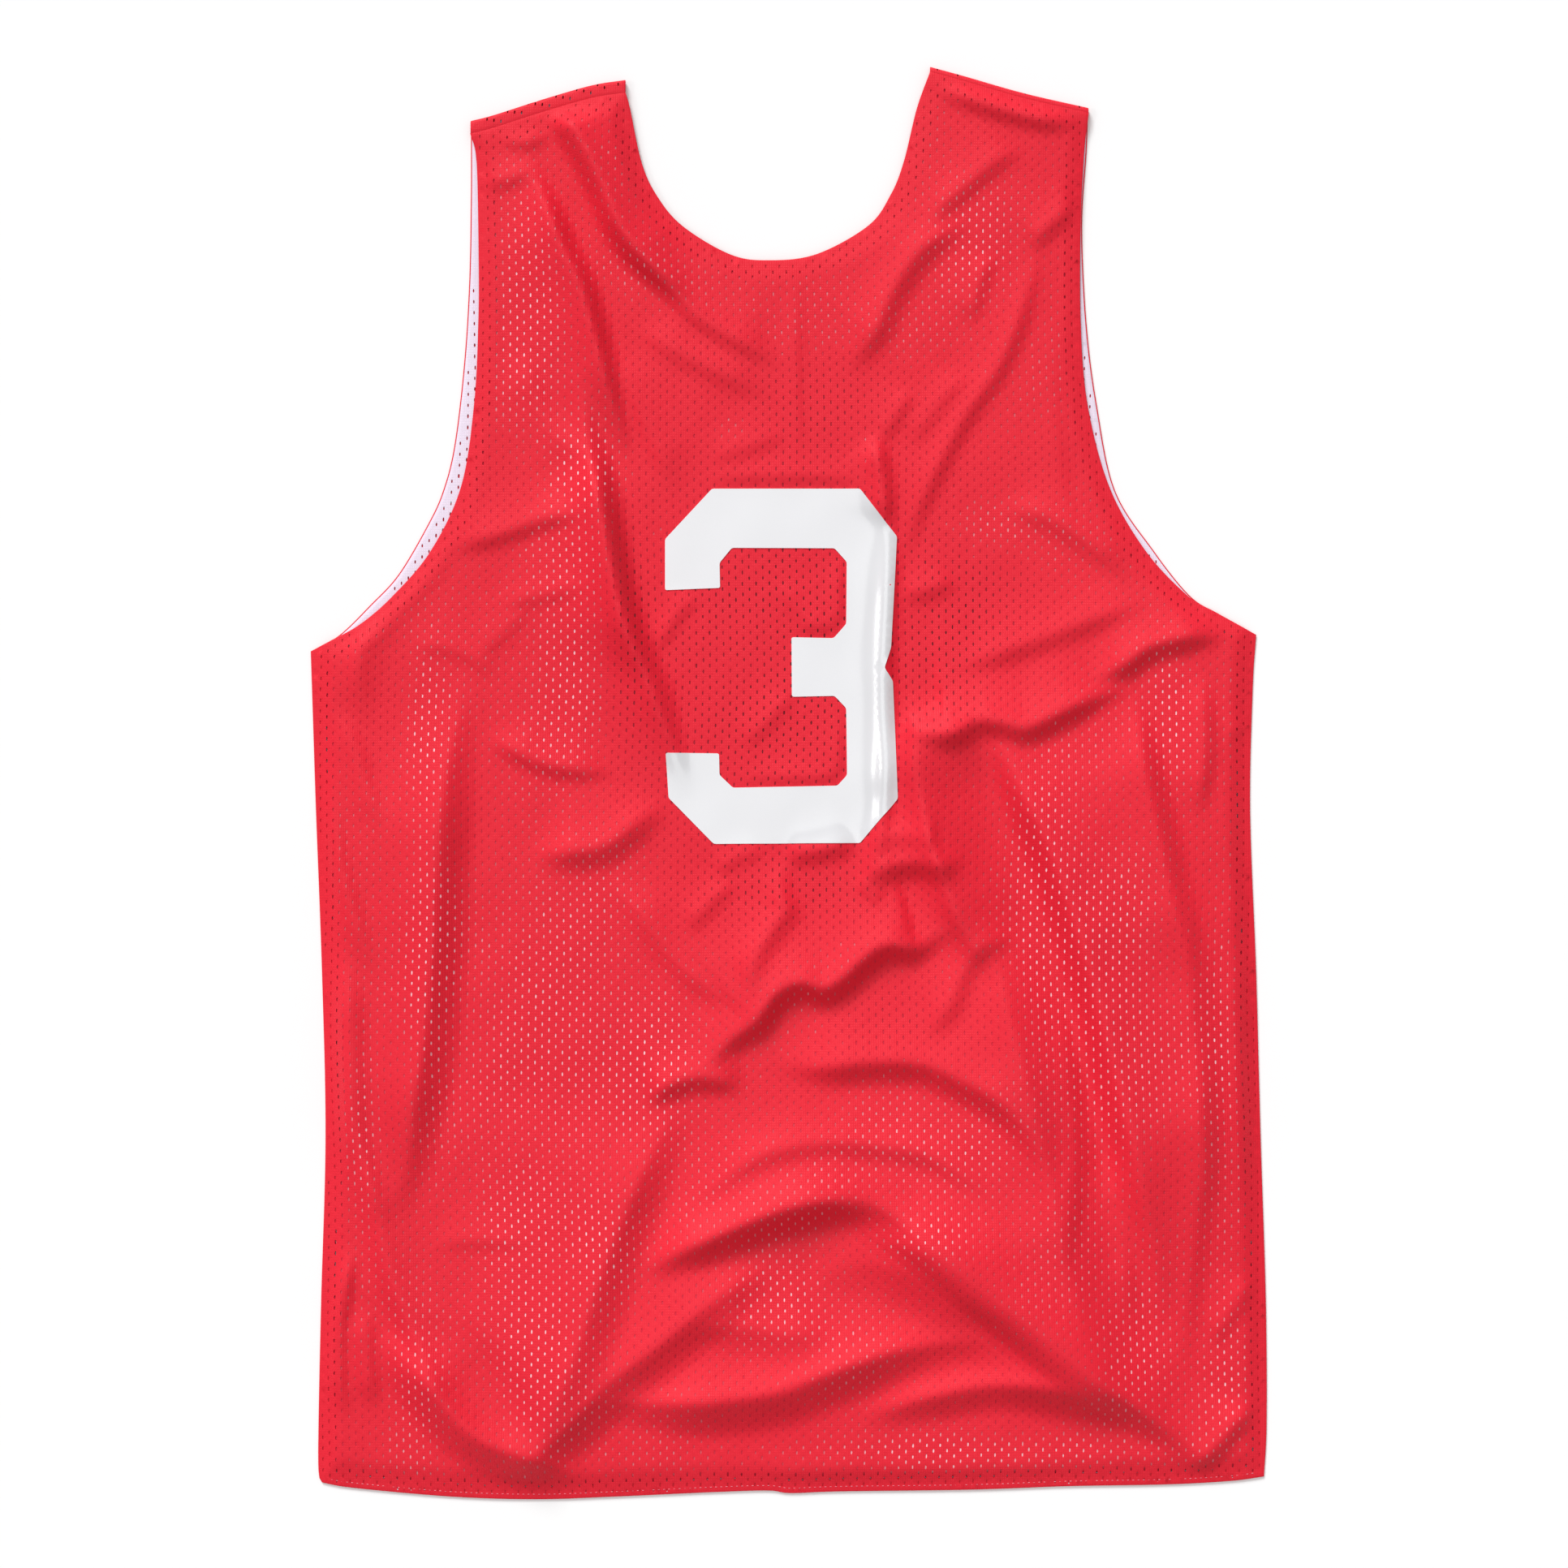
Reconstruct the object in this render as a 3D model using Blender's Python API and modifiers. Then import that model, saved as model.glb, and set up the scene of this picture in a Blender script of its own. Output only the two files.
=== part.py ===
# Sleeveless reversible practice jersey of net cloth, lying flat with its back upwards.
# Red outer panels, white lining panels. The front's strap ends turn over the shoulders.
# Metres, +Z up, +Y towards the shoulders, origin in the middle of the jersey on the floor.

import math
from collections import namedtuple

import bmesh
import bpy
import numpy as np
from mathutils import Vector
from mathutils.geometry import delaunay_2d_cdt

# Driving sizes
MM = 0.001
CLOTH = 1.0 * MM  # wall of each layer
SEAM_GAP = 0.3 * MM  # between layers that lie on each other
FOLD_PLAY = 0.3 * MM  # more room under the back panel, whose wall is steep at the folds
HEM_WIDTH = 7.0 * MM  # from an edge to the lining behind it
SEAM_BELOW_TOP = {"left": 7.5 * MM, "right": 3.0 * MM}  # shoulder seam, below the turned edge
EDGE_STEP = 12.0 * MM  # between points along an edge
CREST_STEP = 11.0 * MM  # between points along a fold
FILL_STEP = 19.0 * MM  # between points of the plain cloth
CREST_CLEAR = 8.0 * MM  # least distance between points along folds
FILL_CLEAR = 13.0 * MM  # least distance from a fill point to another point
FADE = 20.0 * MM  # folds die away over this distance from an edge
LEAST_STEEP = 11.0 * MM  # narrowest fold side that these points can carry
BEND_ROWS = 6  # rows of points round the turned shoulder
LEAST_MITRE = 0.6  # sharper corners than this are moved in less than a full mitre
SIDES_BEYOND = 262.0 * MM  # the side edges lie further than this from the middle line

# Heights of the middle of each wall
FRONT_LEVEL = CLOTH / 2
FRONT_LINING_LEVEL = FRONT_LEVEL + CLOTH + SEAM_GAP
BACK_LINING_LEVEL = FRONT_LINING_LEVEL + CLOTH + SEAM_GAP
BACK_LEVEL = BACK_LINING_LEVEL + CLOTH + SEAM_GAP + FOLD_PLAY
TURN_RADIUS = (BACK_LEVEL - FRONT_LEVEL) / 2
SIDE_DROP = BACK_LEVEL - FRONT_LINING_LEVEL  # the back's side edge comes down onto the front
EDGE_DROP = BACK_LEVEL - BACK_LINING_LEVEL  # elsewhere it covers the edge of its lining

RED_CLOTH = (0.83, 0.035, 0.062, 1.0)
WHITE_LINING = (0.88, 0.80, 0.87, 1.0)

# Edges as millimetres from the jersey's middle, each read anticlockwise round the outline
Spot = namedtuple("Spot", "x y")

HEM = (
    Spot(-268, -402), Spot(-250, -405), Spot(-194, -410), Spot(-145, -411.5), Spot(-100, -410),
    Spot(-45, -407.5), Spot(-12, -406.5), Spot(1, -408), Spot(30, -407), Spot(105, -406),
    Spot(161, -404), Spot(217, -403), Spot(254, -401), Spot(273, -398.5),
)
SIDE_RIGHT = (
    Spot(273, -398.5), Spot(274.5, -367), Spot(274, -297), Spot(271, -203), Spot(268.5, -110),
    Spot(265, -16), Spot(266.5, 54), Spot(268.5, 85),
)
BACK_ARMHOLE_RIGHT = (
    Spot(268.5, 85), Spot(245, 98), Spot(229.5, 107), Spot(205, 133), Spot(184, 170),
    Spot(171.5, 217), Spot(167.5, 264), Spot(167.5, 320), Spot(169.5, 362), Spot(171.5, 388),
)
FRONT_ARMHOLE_RIGHT = (
    Spot(268.5, 85), Spot(245, 98), Spot(230, 108), Spot(210, 133), Spot(187.5, 168),
    Spot(177, 217), Spot(171, 264), Spot(168.5, 320), Spot(171, 362), Spot(172.5, 388),
)
SHOULDER_RIGHT = (Spot(172, 388), Spot(135, 396.5), Spot(100, 406.5), Spot(81.5, 411.5))
BACK_NECK = (
    Spot(81.5, 411.5), Spot(74, 387.5), Spot(66.5, 357), Spot(59, 338), Spot(46, 320),
    Spot(16, 303.5), Spot(-12, 300), Spot(-34, 303.5), Spot(-61.5, 320), Spot(-76.5, 338),
    Spot(-85, 357), Spot(-91.5, 387.5), Spot(-94, 404),
)
FRONT_NECK = (
    Spot(81.5, 411.5), Spot(76.5, 385), Spot(70, 345), Spot(62, 315), Spot(48, 290),
    Spot(18, 268), Spot(-12, 264), Spot(-42, 275), Spot(-68, 303), Spot(-81, 330),
    Spot(-88, 357), Spot(-93.5, 387.5), Spot(-94, 404),
)
SHOULDER_LEFT = (Spot(-94, 404), Spot(-113, 401), Spot(-141, 393), Spot(-169, 384), Spot(-182.5, 380.5))
BACK_ARMHOLE_LEFT = (
    Spot(-182.5, 380.5), Spot(-180.5, 357), Spot(-178.5, 303), Spot(-178.5, 264),
    Spot(-180.5, 217), Spot(-188, 170), Spot(-205.5, 133), Spot(-227.5, 107), Spot(-246, 91),
    Spot(-263, 81.5), Spot(-274.5, 75.5),
)
FRONT_ARMHOLE_LEFT = (
    Spot(-183.5, 380.5), Spot(-182.5, 337), Spot(-183.5, 287), Spot(-186.5, 240),
    Spot(-192, 194), Spot(-198.5, 168), Spot(-207, 149), Spot(-224, 120), Spot(-240.5, 102),
    Spot(-258, 85), Spot(-274.5, 75.5),
)
SIDE_LEFT = (
    Spot(-274.5, 75.5), Spot(-273, 30), Spot(-271.5, -16), Spot(-268, -110), Spot(-266, -203),
    Spot(-268.5, -297), Spot(-270, -367), Spot(-270, -396), Spot(-268, -402),
)

# Largest folds in millimetres. A fold's path is the middle of its steep side, which faces
# the right of the way the path runs; gentle and steep are the widths of its two sides.
Fold = namedtuple("Fold", "name height gentle steep path")
FOLDS = (
    Fold("under right chest", 6.0, 28, 9, ((62, 29), (93, 21), (139, 28), (177, 45), (200, 65), (247, 90))),
    Fold("middle", 7.0, 26, 9, ((-70, -193), (-34, -154), (-1, -123), (32, -119), (55, -101), (92, -86))),
    Fold("middle, lower left", 5.0, 51, 15, ((-115, -325), (-87, -255), (-66, -194))),
    Fold("upper arch", 4.5, 21, 9, ((-10, -167), (37, -167), (74, -173), (111, -188), (140, -213))),
    Fold("lower arch", 6.0, 22, 10, ((-73, -279), (-34, -262), (13, -247), (46, -242), (78, -251))),
    Fold("right sweep", 9.0, 42, 16, ((65, -269), (107, -307), (153, -344), (200, -371), (229, -388))),
    Fold("left sweep", 7.0, 37, 11, ((-153, -396), (-118, -370), (-90, -344), (-48, -314), (-5, -283))),
    Fold("above hem", 5.5, 19, 10, ((-108, -366), (-48, -366), (4, -356), (51, -342), (123, -328))),
    Fold("above hem, right", 4.5, 14, 9, ((37, -372), (83, -355), (130, -354), (177, -360))),
    Fold("left side", 6.5, 35, 14, ((-219, -250), (-200, -180), (-191, -87), (-186, 37))),
    Fold("left side, low", 4.0, 13, 8, ((-174, -377), (-204, -339), (-225, -278), (-243, -203), (-254, -101))),
    Fold("left of neck", 4.5, 14, 8, ((-31, 238), (-57, 271), (-89, 310), (-104, 357), (-131, 386))),
    Fold("left strap", 4.5, 13, 7, ((-104, 268), (-121, 305), (-136, 342))),
    Fold("left blade", 6.0, 20, 8, ((-65, 30), (-82, 81), (-93, 128), (-97, 152), (-104, 179))),
    Fold("left blade, inner", 3.2, 12, 9, ((-103, 179), (-127, 203), (-144, 245))),
    Fold("right of neck", 3.0, 11, 7, ((36, 230), (51, 254), (74, 291), (100, 316))),
    Fold("right blade", 4.2, 9, 10, ((70, 124), (83, 169), (117, 217), (138, 268), (136, 310))),
    Fold("right side", 6.0, 35, 19, ((100, 16), (130, -44), (160, -133), (184, -227), (200, -297))),
    Fold("right side, high", 4.0, 23, 9, ((224, -56), (214, 7), (202, 49))),
    Fold("right side, edge", 3.0, 23, 12, ((248, -227), (245, -133), (242, -40))),
    Fold("left armhole", 3.4, 16, 9, ((-238, 48), (-220, 99), (-192, 139))),
    Fold("left waist", 3.0, 12, 8, ((-233, -112), (-248, -54), (-268, 12))),
    Fold("right corner", 4.5, 16, 8, ((237, -398), (256, -379), (271, -354))),
    Fold("left corner", 4.5, 17, 10, ((-204, -368), (-174, -390), (-136, -402), (-104, -401))),
    Fold("left waist, inner", 3.2, 20, 8, ((-148, -47), (-118, -49), (-90, -35), (-68, -18))),
    Fold("right waist", 3.4, 9, 8, ((45, -59), (69, -56), (96, -51))),
    Fold("middle arch", 2.6, 13, 8, ((-62, -242), (-34, -223), (13, -213), (60, -214), (117, -242))),
)
CREST_SHIFT = 0.7  # from the middle of a fold's steep side to its crest, in steep widths
END_SHARE = 0.3  # of a fold's length, over which each end rises


def smooth_curve(spots, step):
    """Points about a step apart on a Catmull-Rom curve through spots, without the last one."""
    known = np.array(spots, dtype=float)
    known = np.vstack([2 * known[0] - known[1], known, 2 * known[-1] - known[-2]])
    points = []
    for before, start, end, after in zip(known, known[1:], known[2:], known[3:]):
        count = max(1, round(np.linalg.norm(end - start) / step))
        for t in np.arange(count) / count:
            points.append(
                start
                + t * (end - before) / 2
                + t**2 * (before - 2.5 * start + 2 * end - after / 2)
                + t**3 * (1.5 * start - before / 2 - 1.5 * end + after / 2)
            )
    return np.array(points)


def edge(spots):
    return smooth_curve(np.array(spots) * MM, EDGE_STEP)


def nearest_on(points, line):
    """Signed distance of points from a polyline, above zero right of its way, and the share along."""
    lengths = np.linalg.norm(np.diff(line, axis=0), axis=1)
    starts = np.concatenate([[0], np.cumsum(lengths)])
    best = np.full(len(points), np.inf)
    signed = np.zeros(len(points))
    along = np.zeros(len(points))
    for start, end, length, so_far in zip(line, line[1:], lengths, starts):
        way = (end - start) / length
        offset = points - start
        reach = np.clip(offset @ way, 0, length)
        apart = np.linalg.norm(offset - reach[:, None] * way, axis=1)
        side = offset[:, 0] * way[1] - offset[:, 1] * way[0]
        closer = apart < best
        best[closer] = apart[closer]
        signed[closer] = (np.sign(side) * apart)[closer]
        along[closer] = ((so_far + reach) / starts[-1])[closer]
    return signed, along


def smooth_step(share):
    share = np.clip(share, 0, 1)
    return share * share * (3 - 2 * share)


def inside(points, loop):
    """Which points lie inside a closed loop."""
    hits = np.zeros(len(points), dtype=int)
    for start, end in zip(loop, np.roll(loop, -1, axis=0)):
        spans = (start[1] > points[:, 1]) != (end[1] > points[:, 1])
        rise = end[1] - start[1]
        if rise == 0:
            continue
        crossing = start[0] + (points[:, 1] - start[1]) * (end[0] - start[0]) / rise
        hits += spans & (points[:, 0] < crossing)
    return hits % 2 == 1


def inset(loop, distance):
    """A closed loop moved inwards; loops run anticlockwise."""
    before = loop - np.roll(loop, 1, axis=0)
    after = np.roll(loop, -1, axis=0) - loop
    way = before / np.linalg.norm(before, axis=1)[:, None] + after / np.linalg.norm(after, axis=1)[:, None]
    spread = np.linalg.norm(way, axis=1)[:, None]
    inwards = np.stack([-way[:, 1], way[:, 0]], axis=1) / spread
    return loop + distance * inwards / np.maximum(spread / 2, LEAST_MITRE)


def fold_widths(fold):
    steep = max(fold.steep * MM, LEAST_STEEP)
    gentle = max(fold.gentle * MM, steep)
    return gentle, steep


def fold_height(points, outline):
    """Height of the folded cloth above its level, at points in plan."""
    total = np.zeros(len(points))
    for fold in FOLDS:
        gentle, steep = fold_widths(fold)
        path = smooth_curve(np.array(fold.path) * MM, CREST_STEP / 2)
        signed, along = nearest_on(points, path)
        from_crest = signed + CREST_SHIFT * steep
        width = np.where(from_crest > 0, steep, gentle)
        ends = smooth_step(along / END_SHARE) * smooth_step((1 - along) / END_SHARE)
        total += fold.height * MM * ends * np.exp(-((from_crest / width) ** 2))
    closed = np.vstack([outline, outline[:1]])
    from_edge = np.abs(nearest_on(points, closed)[0])
    return total * smooth_step(from_edge / FADE)


def fold_points():
    """Points along each fold's crest, then along the foot of its steep side."""
    crests, feet = [], []
    for fold in FOLDS:
        steep = fold_widths(fold)[1]
        path = smooth_curve(np.array(fold.path) * MM, CREST_STEP)
        way = np.gradient(path, axis=0)
        way /= np.linalg.norm(way, axis=1)[:, None]
        right = np.stack([way[:, 1], -way[:, 0]], axis=1)
        crests.append(path - CREST_SHIFT * steep * right)
        feet.append(path + CREST_SHIFT * steep * right)
    return np.vstack(crests + feet)


def fill_points(outline):
    """Staggered rows of points over the whole outline."""
    low, high = outline.min(axis=0), outline.max(axis=0)
    row_step = FILL_STEP * math.sqrt(3) / 2
    rows = []
    for row in range(int((high[1] - low[1]) / row_step) + 1):
        start = low[0] + (row % 2) * FILL_STEP / 2
        x = np.arange(start, high[0], FILL_STEP)
        rows.append(np.stack([x, np.full(len(x), low[1] + row * row_step)], axis=1))
    return np.vstack(rows)


def add_clear(points, candidates, loop, clearance):
    """points, with each candidate that lies inside the loop and clear of all the others."""
    for spot in candidates[inside(candidates, loop)]:
        if np.linalg.norm(points - spot, axis=1).min() > clearance:
            points = np.vstack([points, spot])
    return points


def triangles_between(points, loops):
    """Triangles over points inside the first loop, keeping every loop's edges."""
    edges = []
    first = 0
    for loop in loops:
        count = len(loop)
        edges += [(first + i, first + (i + 1) % count) for i in range(count)]
        first += count
    flat = [Vector(spot) for spot in points]
    spots, _, faces, *_ = delaunay_2d_cdt(flat, edges, [], 1, 1e-7)
    spots = np.array([tuple(spot) for spot in spots])
    middles = np.array([spots[list(face)].mean(axis=0) for face in faces])
    kept = inside(middles, loops[0])
    return spots, [face for face, keep in zip(faces, kept) if keep]


def cloth(name, spots, faces, colour, collection):
    """A sheet of cloth through spots, given its wall by Solidify."""
    mesh = bpy.data.meshes.new(name)
    piece = bpy.data.objects.new(name, mesh)
    collection.objects.link(piece)
    shape = bmesh.new()
    corners = [shape.verts.new(spot) for spot in spots]
    for face in faces:
        shape.faces.new([corners[i] for i in face])
    loose = [corner for corner in corners if not corner.link_faces]
    bmesh.ops.delete(shape, geom=loose, context="VERTS")
    shape.to_mesh(mesh)
    shape.free()
    mesh.shade_smooth()
    wall = piece.modifiers.new("wall", "SOLIDIFY")
    wall.thickness = CLOTH
    wall.offset = 0
    mesh.materials.append(finish(name, colour))
    return piece


def finish(name, colour):
    material = bpy.data.materials.new(name)
    material.use_nodes = True
    shader = material.node_tree.nodes["Principled BSDF"]
    shader.inputs["Base Color"].default_value = colour
    shader.inputs["Roughness"].default_value = 0.75
    shader.inputs["Metallic"].default_value = 0.0
    return material


def shoulder_top(spots):
    """x and y of points along a shoulder's turned edge, from low x to high x."""
    line = np.vstack([edge(spots), np.array(spots[-1]) * MM])
    return line[np.argsort(line[:, 0])]


def moved_in_y(spots, distance):
    return [Spot(spot.x, spot.y + distance / MM) for spot in spots]


def back_outline():
    """The back panel's outline. Its shoulder edges lie below the turned edge, at the seam."""
    half_gap = SEAM_GAP / 2
    right = moved_in_y(SHOULDER_RIGHT, -SEAM_BELOW_TOP["right"] - half_gap)
    left = moved_in_y(SHOULDER_LEFT, -SEAM_BELOW_TOP["left"] - half_gap)
    armhole_right = BACK_ARMHOLE_RIGHT[:-1] + (right[0],)
    neck = (right[-1],) + BACK_NECK[1:-1] + (left[0],)
    armhole_left = (left[-1],) + BACK_ARMHOLE_LEFT[1:]
    edges = [HEM, SIDE_RIGHT, armhole_right, right, neck, left, armhole_left, SIDE_LEFT]
    return np.vstack([edge(spots) for spots in edges])


def rising(spot):
    """Spots up the side of a strap end, one for each row of points round the shoulder turn."""
    pasts = [math.pi * TURN_RADIUS * row / BEND_ROWS for row in range(BEND_ROWS + 1)]
    return tuple(Spot(spot.x, spot.y + (past - TURN_RADIUS - CLOTH / 2) / MM) for past in pasts)


def front_outline():
    """The front's outline as cut, with its strap ends still straight past the shoulders."""
    half_turn = math.pi * TURN_RADIUS - TURN_RADIUS - CLOTH / 2
    ends = {}
    for side, top in (("right", SHOULDER_RIGHT), ("left", SHOULDER_LEFT)):
        overlap = SEAM_BELOW_TOP[side] - SEAM_GAP / 2 - TURN_RADIUS - CLOTH / 2
        ends[side] = moved_in_y(top, half_turn + overlap)
    armhole_right = FRONT_ARMHOLE_RIGHT[:-1] + rising(SHOULDER_RIGHT[0]) + (ends["right"][0],)
    neck_right = (ends["right"][-1],) + rising(SHOULDER_RIGHT[-1])[::-1]
    neck = neck_right + FRONT_NECK[1:-1] + rising(SHOULDER_LEFT[0]) + (ends["left"][0],)
    armhole_left = (ends["left"][-1],) + rising(SHOULDER_LEFT[-1])[::-1] + FRONT_ARMHOLE_LEFT[1:]
    edges = [HEM, SIDE_RIGHT, armhole_right, ends["right"], neck, ends["left"], armhole_left, SIDE_LEFT]
    return np.vstack([edge(spots) for spots in edges])


def turned(spots):
    """Strap ends carried over the shoulders, in a half round and then back along the top."""
    placed = np.column_stack([spots, np.full(len(spots), FRONT_LEVEL)])
    for top in (shoulder_top(SHOULDER_LEFT), shoulder_top(SHOULDER_RIGHT)):
        near = (spots[:, 0] > top[0, 0] - HEM_WIDTH) & (spots[:, 0] < top[-1, 0] + HEM_WIDTH)
        axis = np.interp(spots[:, 0], top[:, 0], top[:, 1]) - TURN_RADIUS - CLOTH / 2
        past = spots[:, 1] - axis
        angle = np.clip(past / TURN_RADIUS, 0, math.pi)
        beyond = np.clip(past - math.pi * TURN_RADIUS, 0, None)
        over = near & (past > 0)
        placed[over, 1] = (axis + TURN_RADIUS * np.sin(angle) - beyond)[over]
        placed[over, 2] = (FRONT_LEVEL + TURN_RADIUS * (1 - np.cos(angle)))[over]
    return placed


def bend_points():
    """Rows of points across each strap where it turns over the shoulder."""
    rows = []
    for spots in (SHOULDER_LEFT, SHOULDER_RIGHT):
        line = shoulder_top(spots)[1:-1]
        for row in range(BEND_ROWS + 1):
            past = math.pi * TURN_RADIUS * row / BEND_ROWS
            rows.append(line + (0, past - TURN_RADIUS - CLOTH / 2))
    return np.vstack(rows)


def make_front(collection):
    outline = front_outline()
    points = add_clear(outline, bend_points(), inset(outline, CLOTH), CLOTH)
    spots, faces = triangles_between(points, [outline])
    cloth("front_panel", turned(spots), faces, RED_CLOTH, collection)


def make_front_lining(collection):
    """White layer on the front, just inside its armholes, neck and hem.

    It stops short of the shoulder turn and of the sides, where the back comes down.
    """
    stop = SEAM_BELOW_TOP["left"] + TURN_RADIUS
    right = moved_in_y(SHOULDER_RIGHT, -stop)
    left = moved_in_y(SHOULDER_LEFT, -stop)
    armhole_right = FRONT_ARMHOLE_RIGHT[:-1] + (right[0],)
    neck = (right[-1],) + FRONT_NECK[2:-1] + (left[0],)
    armhole_left = (left[-1],) + FRONT_ARMHOLE_LEFT[1:]
    edges = [HEM, SIDE_RIGHT, armhole_right, right, neck, left, armhole_left, SIDE_LEFT]
    outline = np.vstack([edge(spots) for spots in edges])
    sides = np.abs(outline[:, 0]) > SIDES_BEYOND - 2 * HEM_WIDTH
    outline = np.where(sides[:, None], inset(outline, HEM_WIDTH + CLOTH), inset(outline, CLOTH))
    spots, faces = triangles_between(outline, [outline])
    placed = np.column_stack([spots, np.full(len(spots), FRONT_LINING_LEVEL)])
    cloth("front_lining", placed, faces, WHITE_LINING, collection)


def make_back(collection):
    """The folded back panel, and its lining made from the same points, one layer lower."""
    outline = back_outline()
    rim = inset(outline, HEM_WIDTH)
    points = np.vstack([outline, rim])
    points = add_clear(points, fold_points(), inset(rim, CREST_CLEAR), CREST_CLEAR)
    points = add_clear(points, fill_points(outline), inset(rim, CREST_CLEAR), FILL_CLEAR)
    spots, faces = triangles_between(points, [outline, rim])
    height = fold_height(spots, outline)

    closed = np.vstack([outline, outline[:1]])
    at_edge = np.abs(nearest_on(spots, closed)[0]) < HEM_WIDTH / 2
    drop = np.where(at_edge & ~on_shoulder(spots), EDGE_DROP, 0)
    drop[at_edge & (np.abs(spots[:, 0]) > SIDES_BEYOND)] = SIDE_DROP
    placed = np.column_stack([spots, BACK_LEVEL + height - drop])
    cloth("back_panel", placed, faces, RED_CLOTH, collection)

    middles = np.array([spots[list(face)].mean(axis=0) for face in faces])
    behind = [face for face, keep in zip(faces, inside(middles, rim)) if keep]
    placed = np.column_stack([spots, BACK_LINING_LEVEL + height])
    cloth("back_lining", placed, behind, WHITE_LINING, collection)


def on_shoulder(spots):
    """Which points lie on a shoulder seam of the back panel."""
    found = np.zeros(len(spots), dtype=bool)
    for side, top in (("left", SHOULDER_LEFT), ("right", SHOULDER_RIGHT)):
        line = shoulder_top(top)
        seam = np.interp(spots[:, 0], line[:, 0], line[:, 1]) - SEAM_BELOW_TOP[side]
        across = (spots[:, 0] >= line[0, 0] - CLOTH) & (spots[:, 0] <= line[-1, 0] + CLOTH)
        found |= across & (np.abs(spots[:, 1] - seam) < CLOTH)
    return found


def main():
    for old in list(bpy.data.objects):
        bpy.data.objects.remove(old, do_unlink=True)
    collection = bpy.data.collections.new("practice_jersey")
    bpy.context.scene.collection.children.link(collection)
    make_front(collection)
    make_front_lining(collection)
    make_back(collection)


main()
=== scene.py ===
# Sleeveless reversible practice jersey in net cloth, laid flat with its back upwards.
# Tables and plan sizes are in millimetres from the middle of the jersey, as in the CAD.
import math

import bpy
import numpy as np
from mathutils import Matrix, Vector
from mathutils.geometry import delaunay_2d_cdt


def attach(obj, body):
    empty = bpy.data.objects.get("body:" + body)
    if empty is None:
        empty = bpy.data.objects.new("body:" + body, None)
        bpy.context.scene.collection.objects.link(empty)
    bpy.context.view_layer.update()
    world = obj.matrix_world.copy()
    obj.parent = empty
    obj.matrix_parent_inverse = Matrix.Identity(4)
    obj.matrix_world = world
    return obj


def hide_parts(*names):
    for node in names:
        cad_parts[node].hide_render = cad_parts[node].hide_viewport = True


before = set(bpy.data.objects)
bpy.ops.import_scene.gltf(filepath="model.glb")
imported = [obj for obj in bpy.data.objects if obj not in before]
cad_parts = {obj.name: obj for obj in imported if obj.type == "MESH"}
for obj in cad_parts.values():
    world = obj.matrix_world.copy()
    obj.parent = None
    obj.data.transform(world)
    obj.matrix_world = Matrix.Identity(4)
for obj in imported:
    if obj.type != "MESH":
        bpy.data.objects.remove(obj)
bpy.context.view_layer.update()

mm = 0.001

# edges of the garment, each read anticlockwise round it
edges = {
    "hem": [
        (-268, -402), (-250, -405), (-194, -410), (-145, -411.5), (-100, -410), (-45, -407.5),
        (-12, -406.5), (1, -408), (30, -407), (105, -406), (161, -404), (217, -403), (254, -401),
        (273, -398.5)],
    "sideRight": [
        (273, -398.5), (274.5, -367), (274, -297), (271, -203), (268.5, -110), (265, -16),
        (266.5, 54), (268.5, 85)],
    "backArmholeRight": [
        (268.5, 85), (245, 98), (229.5, 107), (205, 133), (184, 170), (171.5, 217), (167.5, 264),
        (167.5, 320), (169.5, 362), (171.5, 388)],
    "frontArmholeRight": [
        (268.5, 85), (245, 98), (230, 108), (210, 133), (187.5, 168), (177, 217), (171, 264),
        (168.5, 320), (171, 362), (172.5, 388)],
    "shoulderRight": [
        (172, 388), (135, 396.5), (100, 406.5), (81.5, 411.5)],
    "backNeck": [
        (81.5, 411.5), (74, 387.5), (66.5, 357), (59, 338), (46, 320), (16, 303.5), (-12, 300),
        (-34, 303.5), (-61.5, 320), (-76.5, 338), (-85, 357), (-91.5, 387.5), (-94, 404)],
    "frontNeck": [
        (81.5, 411.5), (76.5, 385), (70, 345), (62, 315), (48, 290), (18, 268), (-12, 264),
        (-42, 275), (-68, 303), (-81, 330), (-88, 357), (-93.5, 387.5), (-94, 404)],
    "shoulderLeft": [
        (-94, 404), (-113, 401), (-141, 393), (-169, 384), (-182.5, 380.5)],
    "backArmholeLeft": [
        (-180.5, 380.5), (-179, 357), (-177.8, 303), (-178, 264), (-180.5, 217), (-188, 170),
        (-205.5, 133), (-227.5, 107), (-246, 91), (-263, 81.5), (-274.5, 75.5)],
    "frontArmholeLeft": [
        (-183.5, 380.5), (-182.5, 337), (-183.5, 287), (-186.5, 240), (-192, 194), (-198.5, 168),
        (-207, 149), (-224, 120), (-240.5, 102), (-258, 85), (-274.5, 75.5)],
    "sideLeft": [
        (-274.5, 75.5), (-273, 30), (-271.5, -16), (-268, -110), (-266, -203), (-268.5, -297),
        (-270, -367), (-270, -396), (-268, -402)],
}

# heights above the surface and how the layers meet
layers = {
    "front": 0.25,
    "frontLining": 0.85,
    "back": 4.3,
    "liningBelowBack": 0.26,
    "turningRoom": 0.6,     # more room above the lining where the back's edges are turned under
    "turningWide": 7.5,
    "turningFade": 5.0,
    "lowest": 0.5,          # nothing of the back goes below this
    "lowestLining": 1.4,
    "seamLeft": 7.5,        # shoulder seam below the turned edge
    "seamRight": 3.0,
    "seamGap": 0.3,
    "edgeStep": 2.5,        # between points of an edge, and the same where they only measure
    "roughStep": 9.0,
    "bendRows": 8,
    "besideStrap": 7.0,
}
turnRadius = (layers["back"] - layers["front"]) / 2

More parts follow.
